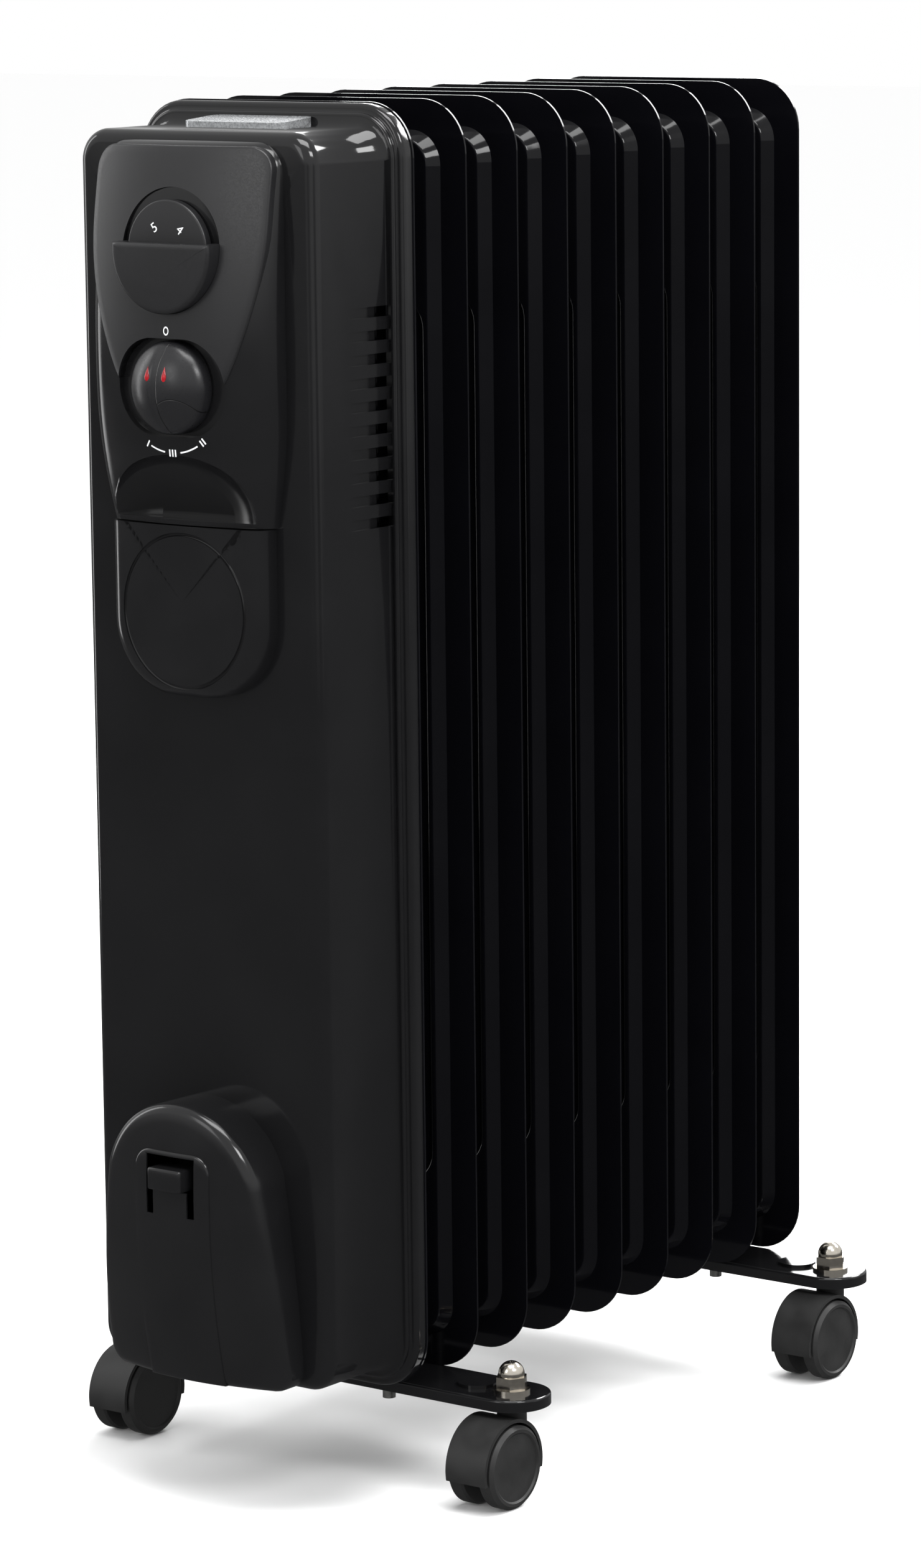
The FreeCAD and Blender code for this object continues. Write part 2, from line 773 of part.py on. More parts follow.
def thermostat():
    face = "first_fin - dial_face"
    disc = cylinder("dial_disc", "dial_radius", "dial_face - dial_floor - floor_gap", 0, face, "dial_height")
    hub = cylinder("dial_hub", "hub_radius", "hub_length", 0, face, "dial_height")
    bore = cylinder("dial_bore", "shaft_radius + press_gap", "tool_reach", 0, face + " + cap_skin",
                    "dial_height")
    node(cut("dial_solid", fuse("dial_moulding", disc, hub), bore), "thermostat_dial")
    back = "first_fin - box_depth + box_wall"
    shaft = cylinder("thermostat_rod", "shaft_radius",
                     "dial_face - box_depth + box_wall - cap_skin - shaft_gap", 0, face + " + cap_skin",
                     "dial_height")
    node(shaft, "thermostat_shaft")
    node(centred_block("thermostat_case", "thermostat_half", "thermostat_depth", "2 * thermostat_half", back,
                       "dial_height - thermostat_half"), "thermostat_body")


def selector():
    front = "first_fin - knob_reach"
    body = new_body("knob_body")
    profile = new_sketch(body, "knob_profile", "YZ_Plane")
    back = "knob_reach - dial_floor - floor_gap"
    bore = "shaft_radius + press_gap"
    outline(profile, [(0, 0), ("knob_core", 0), ("knob_core", bore), ("knob_hub_end", bore),
                      ("knob_hub_end", "hub_radius"), (back, "hub_radius"), (back, "knob_radius"),
                      ("knob_cap", "knob_radius", "knob_sphere")])
    revolve(body, profile, "knob_turned")
    place(body, 0, front, "knob_height")
    slots, lenses = [], []
    for side in (-1, 1):
        tag = "%d" % (side + 1)
        across, level = "%d * lens_spread" % side, "knob_height + lens_rise"
        slots.append(cylinder("lens_slot_" + tag, "lens_radius + 2 * press_gap", "knob_core - lap", across,
                              front, level))
        rod = cylinder("lens_rod_" + tag, "lens_radius", "knob_core - lap", across, front, level)
        lenses.append(common("lens_" + tag, rod, body))
    node(cut("knob_solid", body, *slots), "selector_knob")
    node(group("selector_lens_pair", lenses), "selector_lenses")
    inside = "first_fin - box_depth + box_wall"
    shaft = cylinder("selector_rod", "shaft_radius",
                     "knob_reach - box_depth + box_wall - knob_core - shaft_gap", 0, front + " + knob_core",
                     "knob_height")
    node(shaft, "selector_shaft")
    node(centred_block("selector_case", "switch_half", "switch_depth", "2 * switch_half", inside,
                       "knob_height - switch_half"), "selector_switch_body")
    node(cylinder("lamp_glass", "lamp_radius", "lamp_length", "lamp_side", inside, "knob_height + lens_rise"),
         "pilot_lamp")


def wiring_parts():
    back = "first_fin - box_depth + box_wall"
    node(centred_block("terminal_case", "terminal_half", "terminal_depth", "terminal_height", back,
                       "terminal_level"), "terminal_block")
    bottom = "terminal_level + terminal_height"
    node(cylinder("loom_sleeve", "loom_radius", "knob_height - switch_half - (%s)" % bottom, 0,
                  back + " + terminal_depth / 2", bottom, "z"), "wire_loom")
    node(cylinder("cutout_can", "cutout_radius", "cutout_depth", 0,
                  "first_fin - bulge_thickness / 2 - cutout_depth", "cutout_level"), "thermal_cutout")


# Cord storage
def cord_lip():
    """The rounded lip under the fascia, open at the back."""
    body = new_body("lip_body")
    for name, inset, reach in (("lip_outer", "0", "lip_reach - box_depth"),
                               ("lip_inner", "fascia_wall", "lip_reach - box_depth - fascia_wall")):
        sketch = new_sketch(body, name + "_outline")
        half = "fascia_foot_half - " + inset
        low = "lip_bottom + " + inset
        top = "fascia_bottom - seam_gap - " + inset
        radius = "lip_corner - " + inset
        turn = "lip_bottom + lip_corner"
        outline(sketch, [("-(%s) + (%s)" % (half, radius), low), ("(%s) - (%s)" % (half, radius), low, radius),
                         (half, turn), (half, top), ("-(%s)" % half, top), ("-(%s)" % half, turn, radius)])
        if name == "lip_outer":
            pad(body, sketch, name, reach)
            fillet(body, "lip_edge", "lip_round",
                   lambda edge: edge.BoundBox.YMax < -10 and edge.BoundBox.ZMin < 440)
        else:
            pocket(body, sketch, name, reach, True)
    place(body, 0, "first_fin - box_depth", 0)
    node(body, "cord_lip")


def cover_corners(inset):
    low = "cover_bottom + " + inset
    foot = "cover_foot_half - " + inset
    shoulder = "cover_shoulder_half - " + inset
    corner = "cover_corner - " + inset
    turn = "cover_bottom + cover_corner"
    return [("-(%s) + (%s)" % (foot, corner), low), ("(%s) - (%s)" % (foot, corner), low, corner),
            (foot, turn), (shoulder, "cover_shoulder", "cover_arch - " + inset),
            ("-(%s)" % shoulder, "cover_shoulder"), ("-(%s)" % foot, turn, corner)]


def leg_cover():
    """The arch-topped cover at the box's foot, with a moulded tongue and hook."""
    bow = ("cover_bow", "cover_cross_radius", "cover_long_radius", "cover_middle")
    outside = bowed_form("cover_outside", cover_corners("0"), "0", *bow)
    inside = bowed_form("cover_inside", cover_corners("fascia_wall"), "fascia_wall", *bow)
    front = "first_fin - cover_bow - 6 * lap"
    window = centred_block("clip_window", "clip_half", "tool_reach / 2", "clip_top - clip_hook_bottom", front,
                           "clip_hook_bottom")
    legs = []
    for side in (-1, 1):
        start = "clip_tongue_half" if side > 0 else "-clip_half"
        legs.append(block("clip_leg_%d" % (side + 1), "clip_half - clip_tongue_half", "tool_reach / 2",
                          "clip_hook_bottom - clip_slot_bottom + lap", start, front, "clip_slot_bottom"))
    shell = cut("cover_shell", outside, inside, window, *legs)
    hook = centred_block("clip_hook", "clip_tongue_half", "clip_reach - cover_bow + 4 * lap",
                         "clip_hook_top - clip_hook_bottom", "first_fin - clip_reach",
                         "clip_hook_bottom - lap")
    node(fuse("cover_solid", shell, hook), "leg_cover")


# Feet
def foot_bracket(label, depth, bolt_shift):
    """A pressed channel across the feet, with down-turned walls and two bosses."""
    body = new_body(label + "_body")
    top = new_sketch(body, label + "_outline", "XY_Plane")
    end = "bracket_width / 2 - lap / 2"
    rounded_rectangle(top, "2 * bracket_half", "bracket_width", end)
    pad(body, top, label + "_plate", "bracket_height")
    fillet(body, label + "_edge", "bracket_round", flat_at("z", "bracket_height"))
    under = new_sketch(body, label + "_under", "XY_Plane")
    thin = "2 * bracket_steel"
    rounded_rectangle(under, "2 * bracket_half - " + thin, "bracket_width - " + thin,
                      end + " - bracket_steel")
    pocket(body, under, label + "_channel", "bracket_height - bracket_steel", True)
    place(body, 0, depth, "fin_bottom - bracket_height")
    bosses, holes = [], []
    for side in (-1, 1):
        tag = "%s_%s" % (label, "left" if side < 0 else "right")
        bosses.append(cylinder(tag + "_boss", "boss_radius", "boss_rise + lap", "%d * boss_x" % side, depth,
                               "fin_bottom - lap", "z"))
        holes.append(cylinder(tag + "_dimple", "boss_radius - bracket_steel", "boss_rise + 2 * lap",
                              "%d * boss_x" % side, depth,
                              "fin_bottom - 2 * lap - bracket_steel + boss_rise", "z"))
        holes.append(cylinder(tag + "_stem_hole", "thread_radius + 5 * press_gap", "tool_reach",
                              "%d * castor_x" % side, depth, "fin_bottom - tool_reach / 2", "z"))
        holes.append(cylinder(tag + "_bolt_hole", "u_bolt_rod + 10 * press_gap", "tool_reach",
                              "%d * u_bolt_radius" % side, bolt_shift, "fin_bottom - tool_reach / 2", "z"))
    node(cut(label + "_solid", fuse(label + "_pressed", body, *bosses), *holes), label)


def u_bolt(label, depth):
    bow = half_ring(label + "_bow", "u_bolt_radius", "u_bolt_rod", depth, "lower_header", 90)
    legs = []
    for side in (-1, 1):
        legs.append(cylinder("%s_leg_%d" % (label, side + 1), "u_bolt_rod", "lower_header - u_bolt_end",
                             "%d * u_bolt_radius" % side, depth, "u_bolt_end", "z"))
    node(fuse(label + "_rod", bow, *legs), label)


def hex_nut(name, across_flats, height, bore, x, y, z):
    prism = doc.addObject("Part::Prism", name + "_hexagon")
    prism.Polygon = 6
    bind(prism, Circumradius="%s / 2 / cos(30)" % across_flats, Height=height)
    place(prism, x, y, z)
    room = cylinder(name + "_bore", bore, "tool_reach", x, y, "(%s) - tool_reach / 2" % z, "z")
    return cut(name, prism, room)


def dome_nut(name, x, y):
    """A flanged dome nut, closed over the stem's threaded end."""
    low = "fin_bottom"
    washer = cylinder(name + "_washer", "dome_washer", "dome_washer_height", x, y, low, "z")
    prism = doc.addObject("Part::Prism", name + "_hexagon")
    prism.Polygon = 6
    bind(prism, Circumradius="dome_hexagon", Height="dome_hexagon_height")
    place(prism, x, y, low + " + dome_washer_height")
    dome = doc.addObject("Part::Sphere", name + "_dome")
    bind(dome, Radius="dome_radius")
    place(dome, x, y, low + " + dome_level")
    room = cylinder(name + "_room", "thread_radius + press_gap", "thread_end + lap", x, y, low, "z")
    return cut(name, fuse(name + "_outside", washer, prism, dome), room)


def feet():
    depths = {"front": "first_fin + front_castor", "rear": "first_fin + rear_castor"}
    gaps = {"front": "first_fin + fin_pitch / 2", "rear": "first_fin + 7.5 * fin_pitch"}
    bolt_nuts, domes = [], []
    for end, depth in depths.items():
        foot_bracket("foot_bracket_" + end, depth, gaps[end])
        u_bolt("u_bolt_" + end, gaps[end])
        for side in (-1, 1):
            tag = "%s_%d" % (end, side + 1)
            bolt_nuts.append(hex_nut("bolt_nut_" + tag, "u_bolt_nut", "u_bolt_nut_height",
                                     "u_bolt_rod + press_gap", "%d * u_bolt_radius" % side, gaps[end],
                                     "fin_bottom - bracket_steel - u_bolt_nut_height"))
            domes.append(dome_nut("dome_nut_" + tag, "%d * castor_x" % side, depth))
    node(group("u_bolt_nut_group", bolt_nuts), "u_bolt_nuts")
    node(group("castor_nut_group", domes), "castor_nuts")


# Castors
def castor(label, side, depth):
    """One twin-wheel castor, its wheels trailing towards -Y."""
    across = "%d * castor_x" % side
    axle_y = depth + " - castor_trail"
    underside = "fin_bottom - bracket_steel"
    pin = cylinder(label + "_pin", "pin_radius", "collar_bottom - pin_bottom + lap", across, depth,
                   "pin_bottom", "z")
    collar = cylinder(label + "_collar", "collar_radius", "%s - collar_bottom" % underside, across, depth,
                      "collar_bottom", "z")
    thread = cylinder(label + "_thread", "thread_radius", "fin_bottom + thread_end - collar_bottom - lap",
                      across, depth, "collar_bottom + lap", "z")
    node(fuse(label + "_stem_solid", pin, collar, thread), "castor_stem_" + label)
    drum = cylinder(label + "_drum", "hood_radius", "2 * hood_half", across + " - hood_half", axle_y,
                    "wheel_radius", "x")
    boss = cylinder(label + "_boss", "boss_collar", "boss_top - boss_bottom", across, depth, "boss_bottom",
                    "z")
    tools = [block(label + "_below", "2 * tool_reach", "2 * tool_reach", "tool_reach",
                   across + " - tool_reach", axle_y + " - tool_reach",
                   "wheel_radius - hood_drop - tool_reach")]
    for hand in (-1, 1):
        start = "hood_web" if hand > 0 else "-hood_half - lap"
        tools.append(cylinder("%s_room_%d" % (label, hand + 1), "hood_pocket", "hood_half + lap - hood_web",
                              "%s + %s" % (across, start), axle_y, "wheel_radius", "x"))
    tools.append(cylinder(label + "_pin_hole", "pin_radius + running_gap", "tool_reach", across, depth,
                          "pin_bottom - lap / 2", "z"))
    tools.append(cylinder(label + "_axle_hole", "axle_radius + press_gap", "2 * axle_half",
                          across + " - axle_half", axle_y, "wheel_radius", "x"))
    node(cut(label + "_hood_solid", fuse(label + "_hood_outside", drum, boss), *tools),
         "castor_hood_" + label)
    node(cylinder(label + "_axle_rod", "axle_radius", "2 * axle_half", across + " - axle_half", axle_y,
                  "wheel_radius", "x"), "castor_axle_" + label)
    for hand, name in ((-1, "left"), (1, "right")):
        castor_wheel(label + "_" + name, hand, across, axle_y)


def castor_wheel(label, hand, across, axle_y):
    """A moulded disc wheel: a bored inner side, a bevelled rim and a dished face."""
    body = new_body(label + "_body")
    profile = new_sketch(body, label + "_profile", "XZ_Plane")
    start, end = "wheel_inner", "wheel_outer"
    bore = "axle_radius + running_gap"
    face = end + " - wheel_dish"
    room = "axle_half + shaft_gap"
    outline(profile, [(start, bore), (start, "wheel_radius - lap"), (start + " + lap", "wheel_radius"),
                      (end + " - wheel_bevel", "wheel_radius"), (end, "wheel_radius - wheel_bevel"),
                      (end, "wheel_radius - wheel_rim"), (face, "wheel_radius - wheel_rim - wheel_dish"),
                      (face, 0), (room, 0), (room, bore)][::-1])
    revolve(body, profile, label + "_turned")
    if hand < 0:
        body.Placement.Rotation = FreeCAD.Rotation(Vector(0, 0, 1), 180)
    place(body, across, axle_y, "wheel_radius")
    node(body, "castor_wheel_" + label)


def castors():
    depths = {"front": "first_fin + front_castor", "rear": "first_fin + rear_castor"}
    for end, depth in depths.items():
        for side, hand in ((-1, "left"), (1, "right")):
            castor("%s_%s" % (end, hand), side, depth)


fins()
necks("upper_header_necks", "upper_neck", "upper_header")
necks("lower_header_necks", "lower_neck", "lower_header")
filler_plug()
heating()
control_box()
grommet()
top_pad()
fascia()
shield()
dial_window_cover()
thermostat()
selector()
wiring_parts()
cord_lip()
leg_cover()
feet()
castors()
doc.recompute()

for thing in doc.Objects:
    if "Invalid" in thing.State or "Error" in thing.State:
        raise RuntimeError("%s did not compute: %s" % (thing.Name, thing.State))
for thing in nodes:
    shape = thing.Shape
    if shape.isNull() or not shape.isValid() or not shape.Solids:
        raise RuntimeError(thing.Label + " has no valid solid")

os.makedirs("parts", exist_ok=True)
for thing in nodes:
    thing.Shape.exportStep(os.path.join("parts", thing.Label + ".step"))
    print("%-26s solids %2d  volume %10.1f mm3" % (thing.Label, len(thing.Shape.Solids), thing.Shape.Volume))
print(len(nodes), "sub-parts")
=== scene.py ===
import bmesh
import bpy
import json
import math
from mathutils import Matrix, Vector


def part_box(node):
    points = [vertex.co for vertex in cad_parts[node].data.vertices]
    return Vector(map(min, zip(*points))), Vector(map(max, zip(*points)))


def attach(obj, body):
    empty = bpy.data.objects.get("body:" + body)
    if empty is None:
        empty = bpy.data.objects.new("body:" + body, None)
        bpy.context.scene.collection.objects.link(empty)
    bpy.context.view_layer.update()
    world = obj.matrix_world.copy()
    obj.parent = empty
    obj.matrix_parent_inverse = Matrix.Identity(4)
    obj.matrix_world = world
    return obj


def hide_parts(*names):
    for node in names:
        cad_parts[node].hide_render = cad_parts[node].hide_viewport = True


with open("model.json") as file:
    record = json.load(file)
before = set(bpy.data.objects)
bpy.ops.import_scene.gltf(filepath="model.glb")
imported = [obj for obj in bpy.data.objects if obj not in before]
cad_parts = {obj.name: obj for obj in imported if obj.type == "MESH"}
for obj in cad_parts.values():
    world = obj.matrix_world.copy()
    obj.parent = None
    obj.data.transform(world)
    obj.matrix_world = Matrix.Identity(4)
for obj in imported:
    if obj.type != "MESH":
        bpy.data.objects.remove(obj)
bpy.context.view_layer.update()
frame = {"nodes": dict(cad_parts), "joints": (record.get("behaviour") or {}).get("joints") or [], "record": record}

mm = 0.001
nodes = frame["nodes"]
print("frame loaded,", len(nodes), "nodes")


def fromHex(code):
    # sRGB hex to the linear colour that shaders want
    channels = [int(code[k:k + 2], 16) / 255 for k in (0, 2, 4)]
    return tuple(c / 12.92 if c <= 0.04045 else ((c + 0.055) / 1.055) ** 2.4 for c in channels) + (1,)


def addNode(tree, kind, links=(), **settings):
    # a node with its settings; links are (input, socket or value) pairs
    made = tree.nodes.new(kind)
    for name, value in settings.items():
        setattr(made, name, value)
    for name, source in links:
        if isinstance(source, bpy.types.NodeSocket):
            tree.links.new(source, made.inputs[name])
        else:
            made.inputs[name].default_value = source
    return made


# places in millimetres that several pieces share
seam = (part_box("fin_1")[0].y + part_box("fin_1")[1].y) / 2 / mm      # Y of the first fin's weld
joints = {joint["name"]: joint for joint in frame["joints"]}
dialZ = joints["thermostat_turn"]["pos_m"][2] / mm
knobZ = joints["selector_turn"]["pos_m"][2] / mm


def surface(name, noises, tones, gloss, relief=None, metallic=0, ior=1.5, pattern=None):
    # one whole finish; noises gives each noise's blotch size in millimetres and its detail, and
    # tones, gloss and relief each end with the name of the noise, or the pattern, that they follow
    material = bpy.data.materials.new(name)
    material.use_nodes = True
    tree = material.node_tree
    shader = tree.nodes["Principled BSDF"]
    shader.inputs["Metallic"].default_value = metallic
    shader.inputs["IOR"].default_value = ior
    place = addNode(tree, "ShaderNodeTexCoord").outputs["Object"]
    sources = {}
    for word, (size, detail) in noises.items():
        noise = addNode(tree, "ShaderNodeTexNoise", [
            ("Vector", place), ("Scale", 1 / (size * mm)), ("Detail", detail)])
        sources[word] = noise.outputs[0]
    if pattern:
        sources["pattern"] = pattern(tree, place)
    dark, light, follows = tones
    colour = addNode(tree, "ShaderNodeMix", [
        ("Factor", sources[follows]), (6, fromHex(dark)), (7, fromHex(light))], data_type="RGBA")
    tree.links.new(colour.outputs[2], shader.inputs["Base Color"])
    low, high, follows = gloss
    rough = addNode(tree, "ShaderNodeMapRange", [
        ("Value", sources[follows]), ("From Min", noiseSpan[0]), ("From Max", noiseSpan[1]),
        ("To Min", low), ("To Max", high)])
    tree.links.new(rough.outputs[0], shader.inputs["Roughness"])
    if relief:
        height, strength, follows = relief
        bump = addNode(tree, "ShaderNodeBump", [
            ("Height", sources[follows]), ("Distance", height * mm), ("Strength", strength)])
        tree.links.new(bump.outputs[0], shader.inputs["Normal"])
    return material


noiseSpan = (0.3, 0.7)      # where nearly all of a noise's values lie

# black enamel baked on pressed steel: a deep gloss with a slight orange peel, which makes
# the long reflections waver a little
boxEnamel = surface("black baked enamel on steel", {"peel": (7, 1), "haze": (45, 3)},
                    ("0d0d0e", "131314", "haze"), (0.07, 0.13, "haze"), (0.035, 0.6, "peel"))

# the same enamel on the fins, made darker and less reflective as painted shade, so that the flat bands on
# their sides stay nearly as dark as the shaded gaps between them
finEnamelWithPaintedShade = surface("black baked enamel on fins, darkened as painted shade", {"peel": (7, 1), "haze": (45, 3)},
                    ("050507", "09090c", "haze"), (0.07, 0.13, "haze"), (0.035, 0.6, "peel"), ior=1.36)

# black ABS moulded in a polished tool: a softer gloss than enamel, with faint flow marks
glossAbs = surface("polished black ABS moulding", {"flow": (30, 2)},
                   ("0f0f10", "151516", "flow"), (0.11, 0.18, "flow"), (0.06, 0.4, "flow"))

# black ABS from a spark-eroded tool: its fine grain, 0.3 mm and drawn at 0.8 mm so that it shows,
# spreads the light into a soft grey sheen
satinAbs = surface("satin black ABS moulding", {"grain": (0.8, 2), "cloud": (25, 2)},
                   ("141415", "1b1b1d", "cloud"), (0.31, 0.42, "grain"), (0.02, 0.5, "grain"))

# the knob's lines, from its axis: where the upright one starts, how it bends, and the arched one
jointLine = {"x": 0.2, "bend": 0.0065, "arcCentre": (7.8, 0, -16), "arcRadius": 11.8,
             "narrow": 0.08, "wide": 0.3}


def knobLines(tree, place):
    # nought in the middle of the upright line and of the arch to its right, one away from them
    axes = addNode(tree, "ShaderNodeSeparateXYZ", [("Vector", place)])
    level = addNode(tree, "ShaderNodeMath", [(0, axes.outputs["Z"]), (1, -knobZ * mm)], operation="ADD")
    square = addNode(tree, "ShaderNodeMath", [(0, level.outputs[0]), (1, 2.0)], operation="POWER")
    curve = addNode(tree, "ShaderNodeMath", [
        (0, square.outputs[0]), (1, -jointLine["bend"] / mm), (2, axes.outputs["X"])],
        operation="MULTIPLY_ADD")
    across = addNode(tree, "ShaderNodeMath", [(0, curve.outputs[0]), (1, -jointLine["x"] * mm)],
                     operation="ADD")
    line = addNode(tree, "ShaderNodeMath", [(0, across.outputs[0])], operation="ABSOLUTE")
    flat = addNode(tree, "ShaderNodeCombineXYZ", [("X", axes.outputs["X"]), ("Z", level.outputs[0])])
    reach = addNode(tree, "ShaderNodeVectorMath", [
        (0, flat.outputs[0]), (1, [c * mm for c in jointLine["arcCentre"]])], operation="DISTANCE")
    ring = addNode(tree, "ShaderNodeMath", [
        (0, reach.outputs["Value"]), (1, -jointLine["arcRadius"] * mm)], operation="ADD")
    arc = addNode(tree, "ShaderNodeMath", [(0, ring.outputs[0])], operation="ABSOLUTE")
    left = addNode(tree, "ShaderNodeMath", [(0, across.outputs[0]), (1, 0.0)], operation="LESS_THAN")
    arcRight = addNode(tree, "ShaderNodeMath", [(0, arc.outputs[0]), (1, left.outputs[0])],
                       operation="MAXIMUM")
    nearest = addNode(tree, "ShaderNodeMath", [(0, line.outputs[0]), (1, arcRight.outputs[0])],
                      operation="MINIMUM")
    groove = addNode(tree, "ShaderNodeMapRange", [
        ("Value", nearest.outputs[0]), ("From Min", jointLine["narrow"] * mm),
        ("From Max", jointLine["wide"] * mm), ("To Min", 0.0), ("To Max", 1.0)])
    return groove.outputs[0]


# satin black ABS cap with fine dark lines, like the joints between separate mouldings
knobAbs = surface("satin black ABS knob cap", {"grain": (0.8, 2)}, ("040404", "18181a", "pattern"),
                  (0.27, 0.36, "grain"), (0.15, 0.6, "pattern"), pattern=knobLines)

# metallic silver paint on a moulded strip: fine bright flakes in a light grey coat
silverPaint = surface("silver flake paint", {"flakes": (0.9, 2)}, ("8e9194", "dcdee0", "flakes"),
                      (0.2, 0.4, "flakes"), (0.03, 0.6, "flakes"), metallic=0.75)

# black filled nylon, moulded: dull, with a fine erosion grain and scuffed patches
nylon = surface("matte black nylon moulding", {"grain": (0.9, 3), "cloud": (12, 3)},
                ("161616", "222222", "cloud"), (0.42, 0.6, "cloud"), (0.03, 0.6, "grain"))

# bright nickel on turned steel: a warm mirror, a little cloudy
nickel = surface("bright nickel plate", {"cloud": (3, 2)}, ("cfc8bc", "e6dfd2", "cloud"),
                 (0.08, 0.2, "cloud"), metallic=1)

# zinc on rolled steel rod: grey, a little cloudy, with a dull shine
zinc = surface("zinc plated steel", {"cloud": (2.5, 3)}, ("8f9090", "b9b9b4", "cloud"),
               (0.26, 0.45, "cloud"), metallic=1)

# drawn steel tube that has been hot: brown and blue tints along the tube
tube = surface("heat tinted steel tube", {"tint": (14, 3)}, ("6b5a4c", "7c7f88", "tint"),
               (0.3, 0.5, "tint"), metallic=1)

# moulded rubber: dull, dusty in patches
rubber = surface("moulded black rubber", {"dust": (5, 3)}, ("131313", "1f1e1e", "dust"),
                 (0.65, 0.85, "dust"), (0.03, 0.4, "dust"))

# clear red acrylic over a dark hole: glossy, with painted shade and a painted glow in its colour, dark at places
# and red where light gathers, in patches that follow the depth noise
acrylic = surface("clear red acrylic with painted glow and shade", {"depth": (2.2, 1)}, ("4a0608", "a8141f", "depth"),
                  (0.08, 0.16, "depth"), ior=1.49)

# pad-printed white ink: flat, thin at places
inkWhite = surface("pad printed white ink", {"cover": (0.9, 2)}, ("cfd2d4", "f4f5f6", "cover"),
                   (0.42, 0.6, "cover"))

# pressed phenolic switch casing: brown, speckled
phenolic = surface("pressed phenolic", {"speckle": (1.5, 3)}, ("4a3f35", "6d6154", "speckle"),
                   (0.38, 0.55, "speckle"))

finishes = {
    "black_enamel": boxEnamel, "gloss_abs": glossAbs, "knob_abs": knobAbs, "dial_abs": satinAbs,
    "satin_inlay": satinAbs, "hood_nylon": nylon, "wheel_nylon": nylon, "zinc_steel": zinc,
    # the red lens and the lamp take the acrylic whose colour holds painted shade and painted glow
    "nickel_plate": nickel, "element_steel": tube, "black_rubber": rubber, "red_lens": acrylic,
    "lamp_glass": acrylic, "switch_plastic": phenolic,
}
for part in frame["record"]["subparts"]:
    shown = nodes[part["node"]]
    shown.data.materials.clear()
    onFin = part["node"].startswith("fin_")
    # the fins take the darker enamel, whose colour is painted shade
    shown.data.materials.append(finEnamelWithPaintedShade if onFin else finishes[part["material_slot"]])
nodes["top_pad"].data.materials[0] = silverPaint
print("materials made")


def deselect():
    if bpy.context.mode != "OBJECT":
        bpy.ops.object.mode_set(mode="OBJECT")
    bpy.ops.object.select_all(action="DESELECT")


def choose(piece):
    deselect()
    piece.select_set(True)
    bpy.context.view_layer.objects.active = piece
    return piece


def settle(piece):
    # the piece's place goes into its mesh
    choose(piece)
    bpy.ops.object.transform_apply(location=True, rotation=True, scale=True)
    return piece


def started(name):
    piece = bpy.context.active_object
    piece.name = name
    return piece


def applied(piece, kind, **settings):
    choose(piece)
    modifier = piece.modifiers.new(kind.lower(), kind)
    for key, value in settings.items():
        setattr(modifier, key, value)
    bpy.ops.object.modifier_apply(modifier=modifier.name)
    return piece


def carve(piece, tool, operation="DIFFERENCE"):
    applied(piece, "BOOLEAN", object=tool, operation=operation, solver="MANIFOLD")
    bpy.data.objects.remove(tool)
    return piece


def joined(pieces, name):
    deselect()
    for piece in pieces:
        piece.select_set(True)
    bpy.context.view_layer.objects.active = pieces[0]
    if len(pieces) > 1:
        bpy.ops.object.join()
    return started(name)


def mergedCopy(node, name):
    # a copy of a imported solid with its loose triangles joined, ready to be worked on
    piece = nodes[node].copy()
    piece.data = nodes[node].data.copy()
    for tag in [key for key in piece.keys() if key.startswith("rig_")]:
        del piece[tag]
    piece.parent = None
    piece.name = name
    bpy.context.scene.collection.objects.link(piece)
    choose(piece)
    bpy.ops.object.mode_set(mode="EDIT")
    bpy.ops.mesh.select_all(action="SELECT")
    bpy.ops.mesh.remove_doubles(threshold=0.002 * mm)
    bpy.ops.object.mode_set(mode="OBJECT")
    return piece


def bar(name, low, high, bevel=0):
    # a block from corner to corner, in millimetres, with its edges rounded
    size = [b - a for a, b in zip(low, high)]
    bpy.ops.mesh.primitive_cube_add(size=1, location=[(a + b) / 2 * mm for a, b in zip(low, high)])
    piece = started(name)
    piece.scale = [s * mm for s in size]
    settle(piece)
    if bevel:
        applied(piece, "BEVEL", width=bevel * mm, segments=3, limit_method="ANGLE")
    return piece


def rod(name, radius, start, end, vertices=96):
    # a cylinder along Y, in millimetres
    bpy.ops.mesh.primitive_cylinder_add(vertices=vertices, radius=radius * mm, rotation=(math.pi / 2, 0, 0),
                                        depth=abs(end[1] - start[1]) * mm,
                                        location=[(a + b) / 2 * mm for a, b in zip(start, end)])
    return settle(started(name))


def finished(piece, body, slot, replaces=(), angle=35):
    # shading, finish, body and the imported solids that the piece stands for
    settle(piece)
    bpy.ops.object.shade_smooth_by_angle(angle=math.radians(angle))
    piece.data.materials.clear()
    piece.data.materials.append(finishes[slot])
    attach(piece, body)
    if replaces:
        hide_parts(*replaces)
    return piece


# places that the pieces share, in millimetres
boxFront = seam - 60        # the box's front wall
behindBox = seam - 46       # inside the box, where the mouldings on its front end
beyond = seam - 110         # in front of everything, where cutting tools start
cupMouth = seam - 100       # in front of the controls' faces, where their cups' tools start
pastBack = seam - 30        # behind the mouldings, where the cuts at their seams end
beside = 70                 # past the mouldings' sides


def barrelFront(reach, cross, long, middle):
    # the front of a moulding bowed across and along: gives Y for an X and a Z. cross and long are
    # the two radii, and middle is the height where it stands furthest out, reach from the seam
    def level(x, z):
        ring = long - cross + math.sqrt(cross ** 2 - x ** 2)
        return seam - reach + long - math.sqrt(ring ** 2 - (z - middle) ** 2)
    return level


fasciaFront = barrelFront(reach=79.2, cross=180, long=435, middle=522)
coverFront = barrelFront(reach=88.6, cross=157, long=378, middle=145)


def arcPoints(centre, radius, start, end, count=10):
    turns = [math.radians(start + (end - start) * k / count) for k in range(count + 1)]
    return [(centre[0] + radius * math.cos(t), centre[1] + radius * math.sin(t)) for t in turns]


def mirrored(half):
    # a right-hand outline from bottom to top, with its mirror image on the left
    return half + [(-x, z) for x, z in reversed(half) if abs(x) > 1e-6]


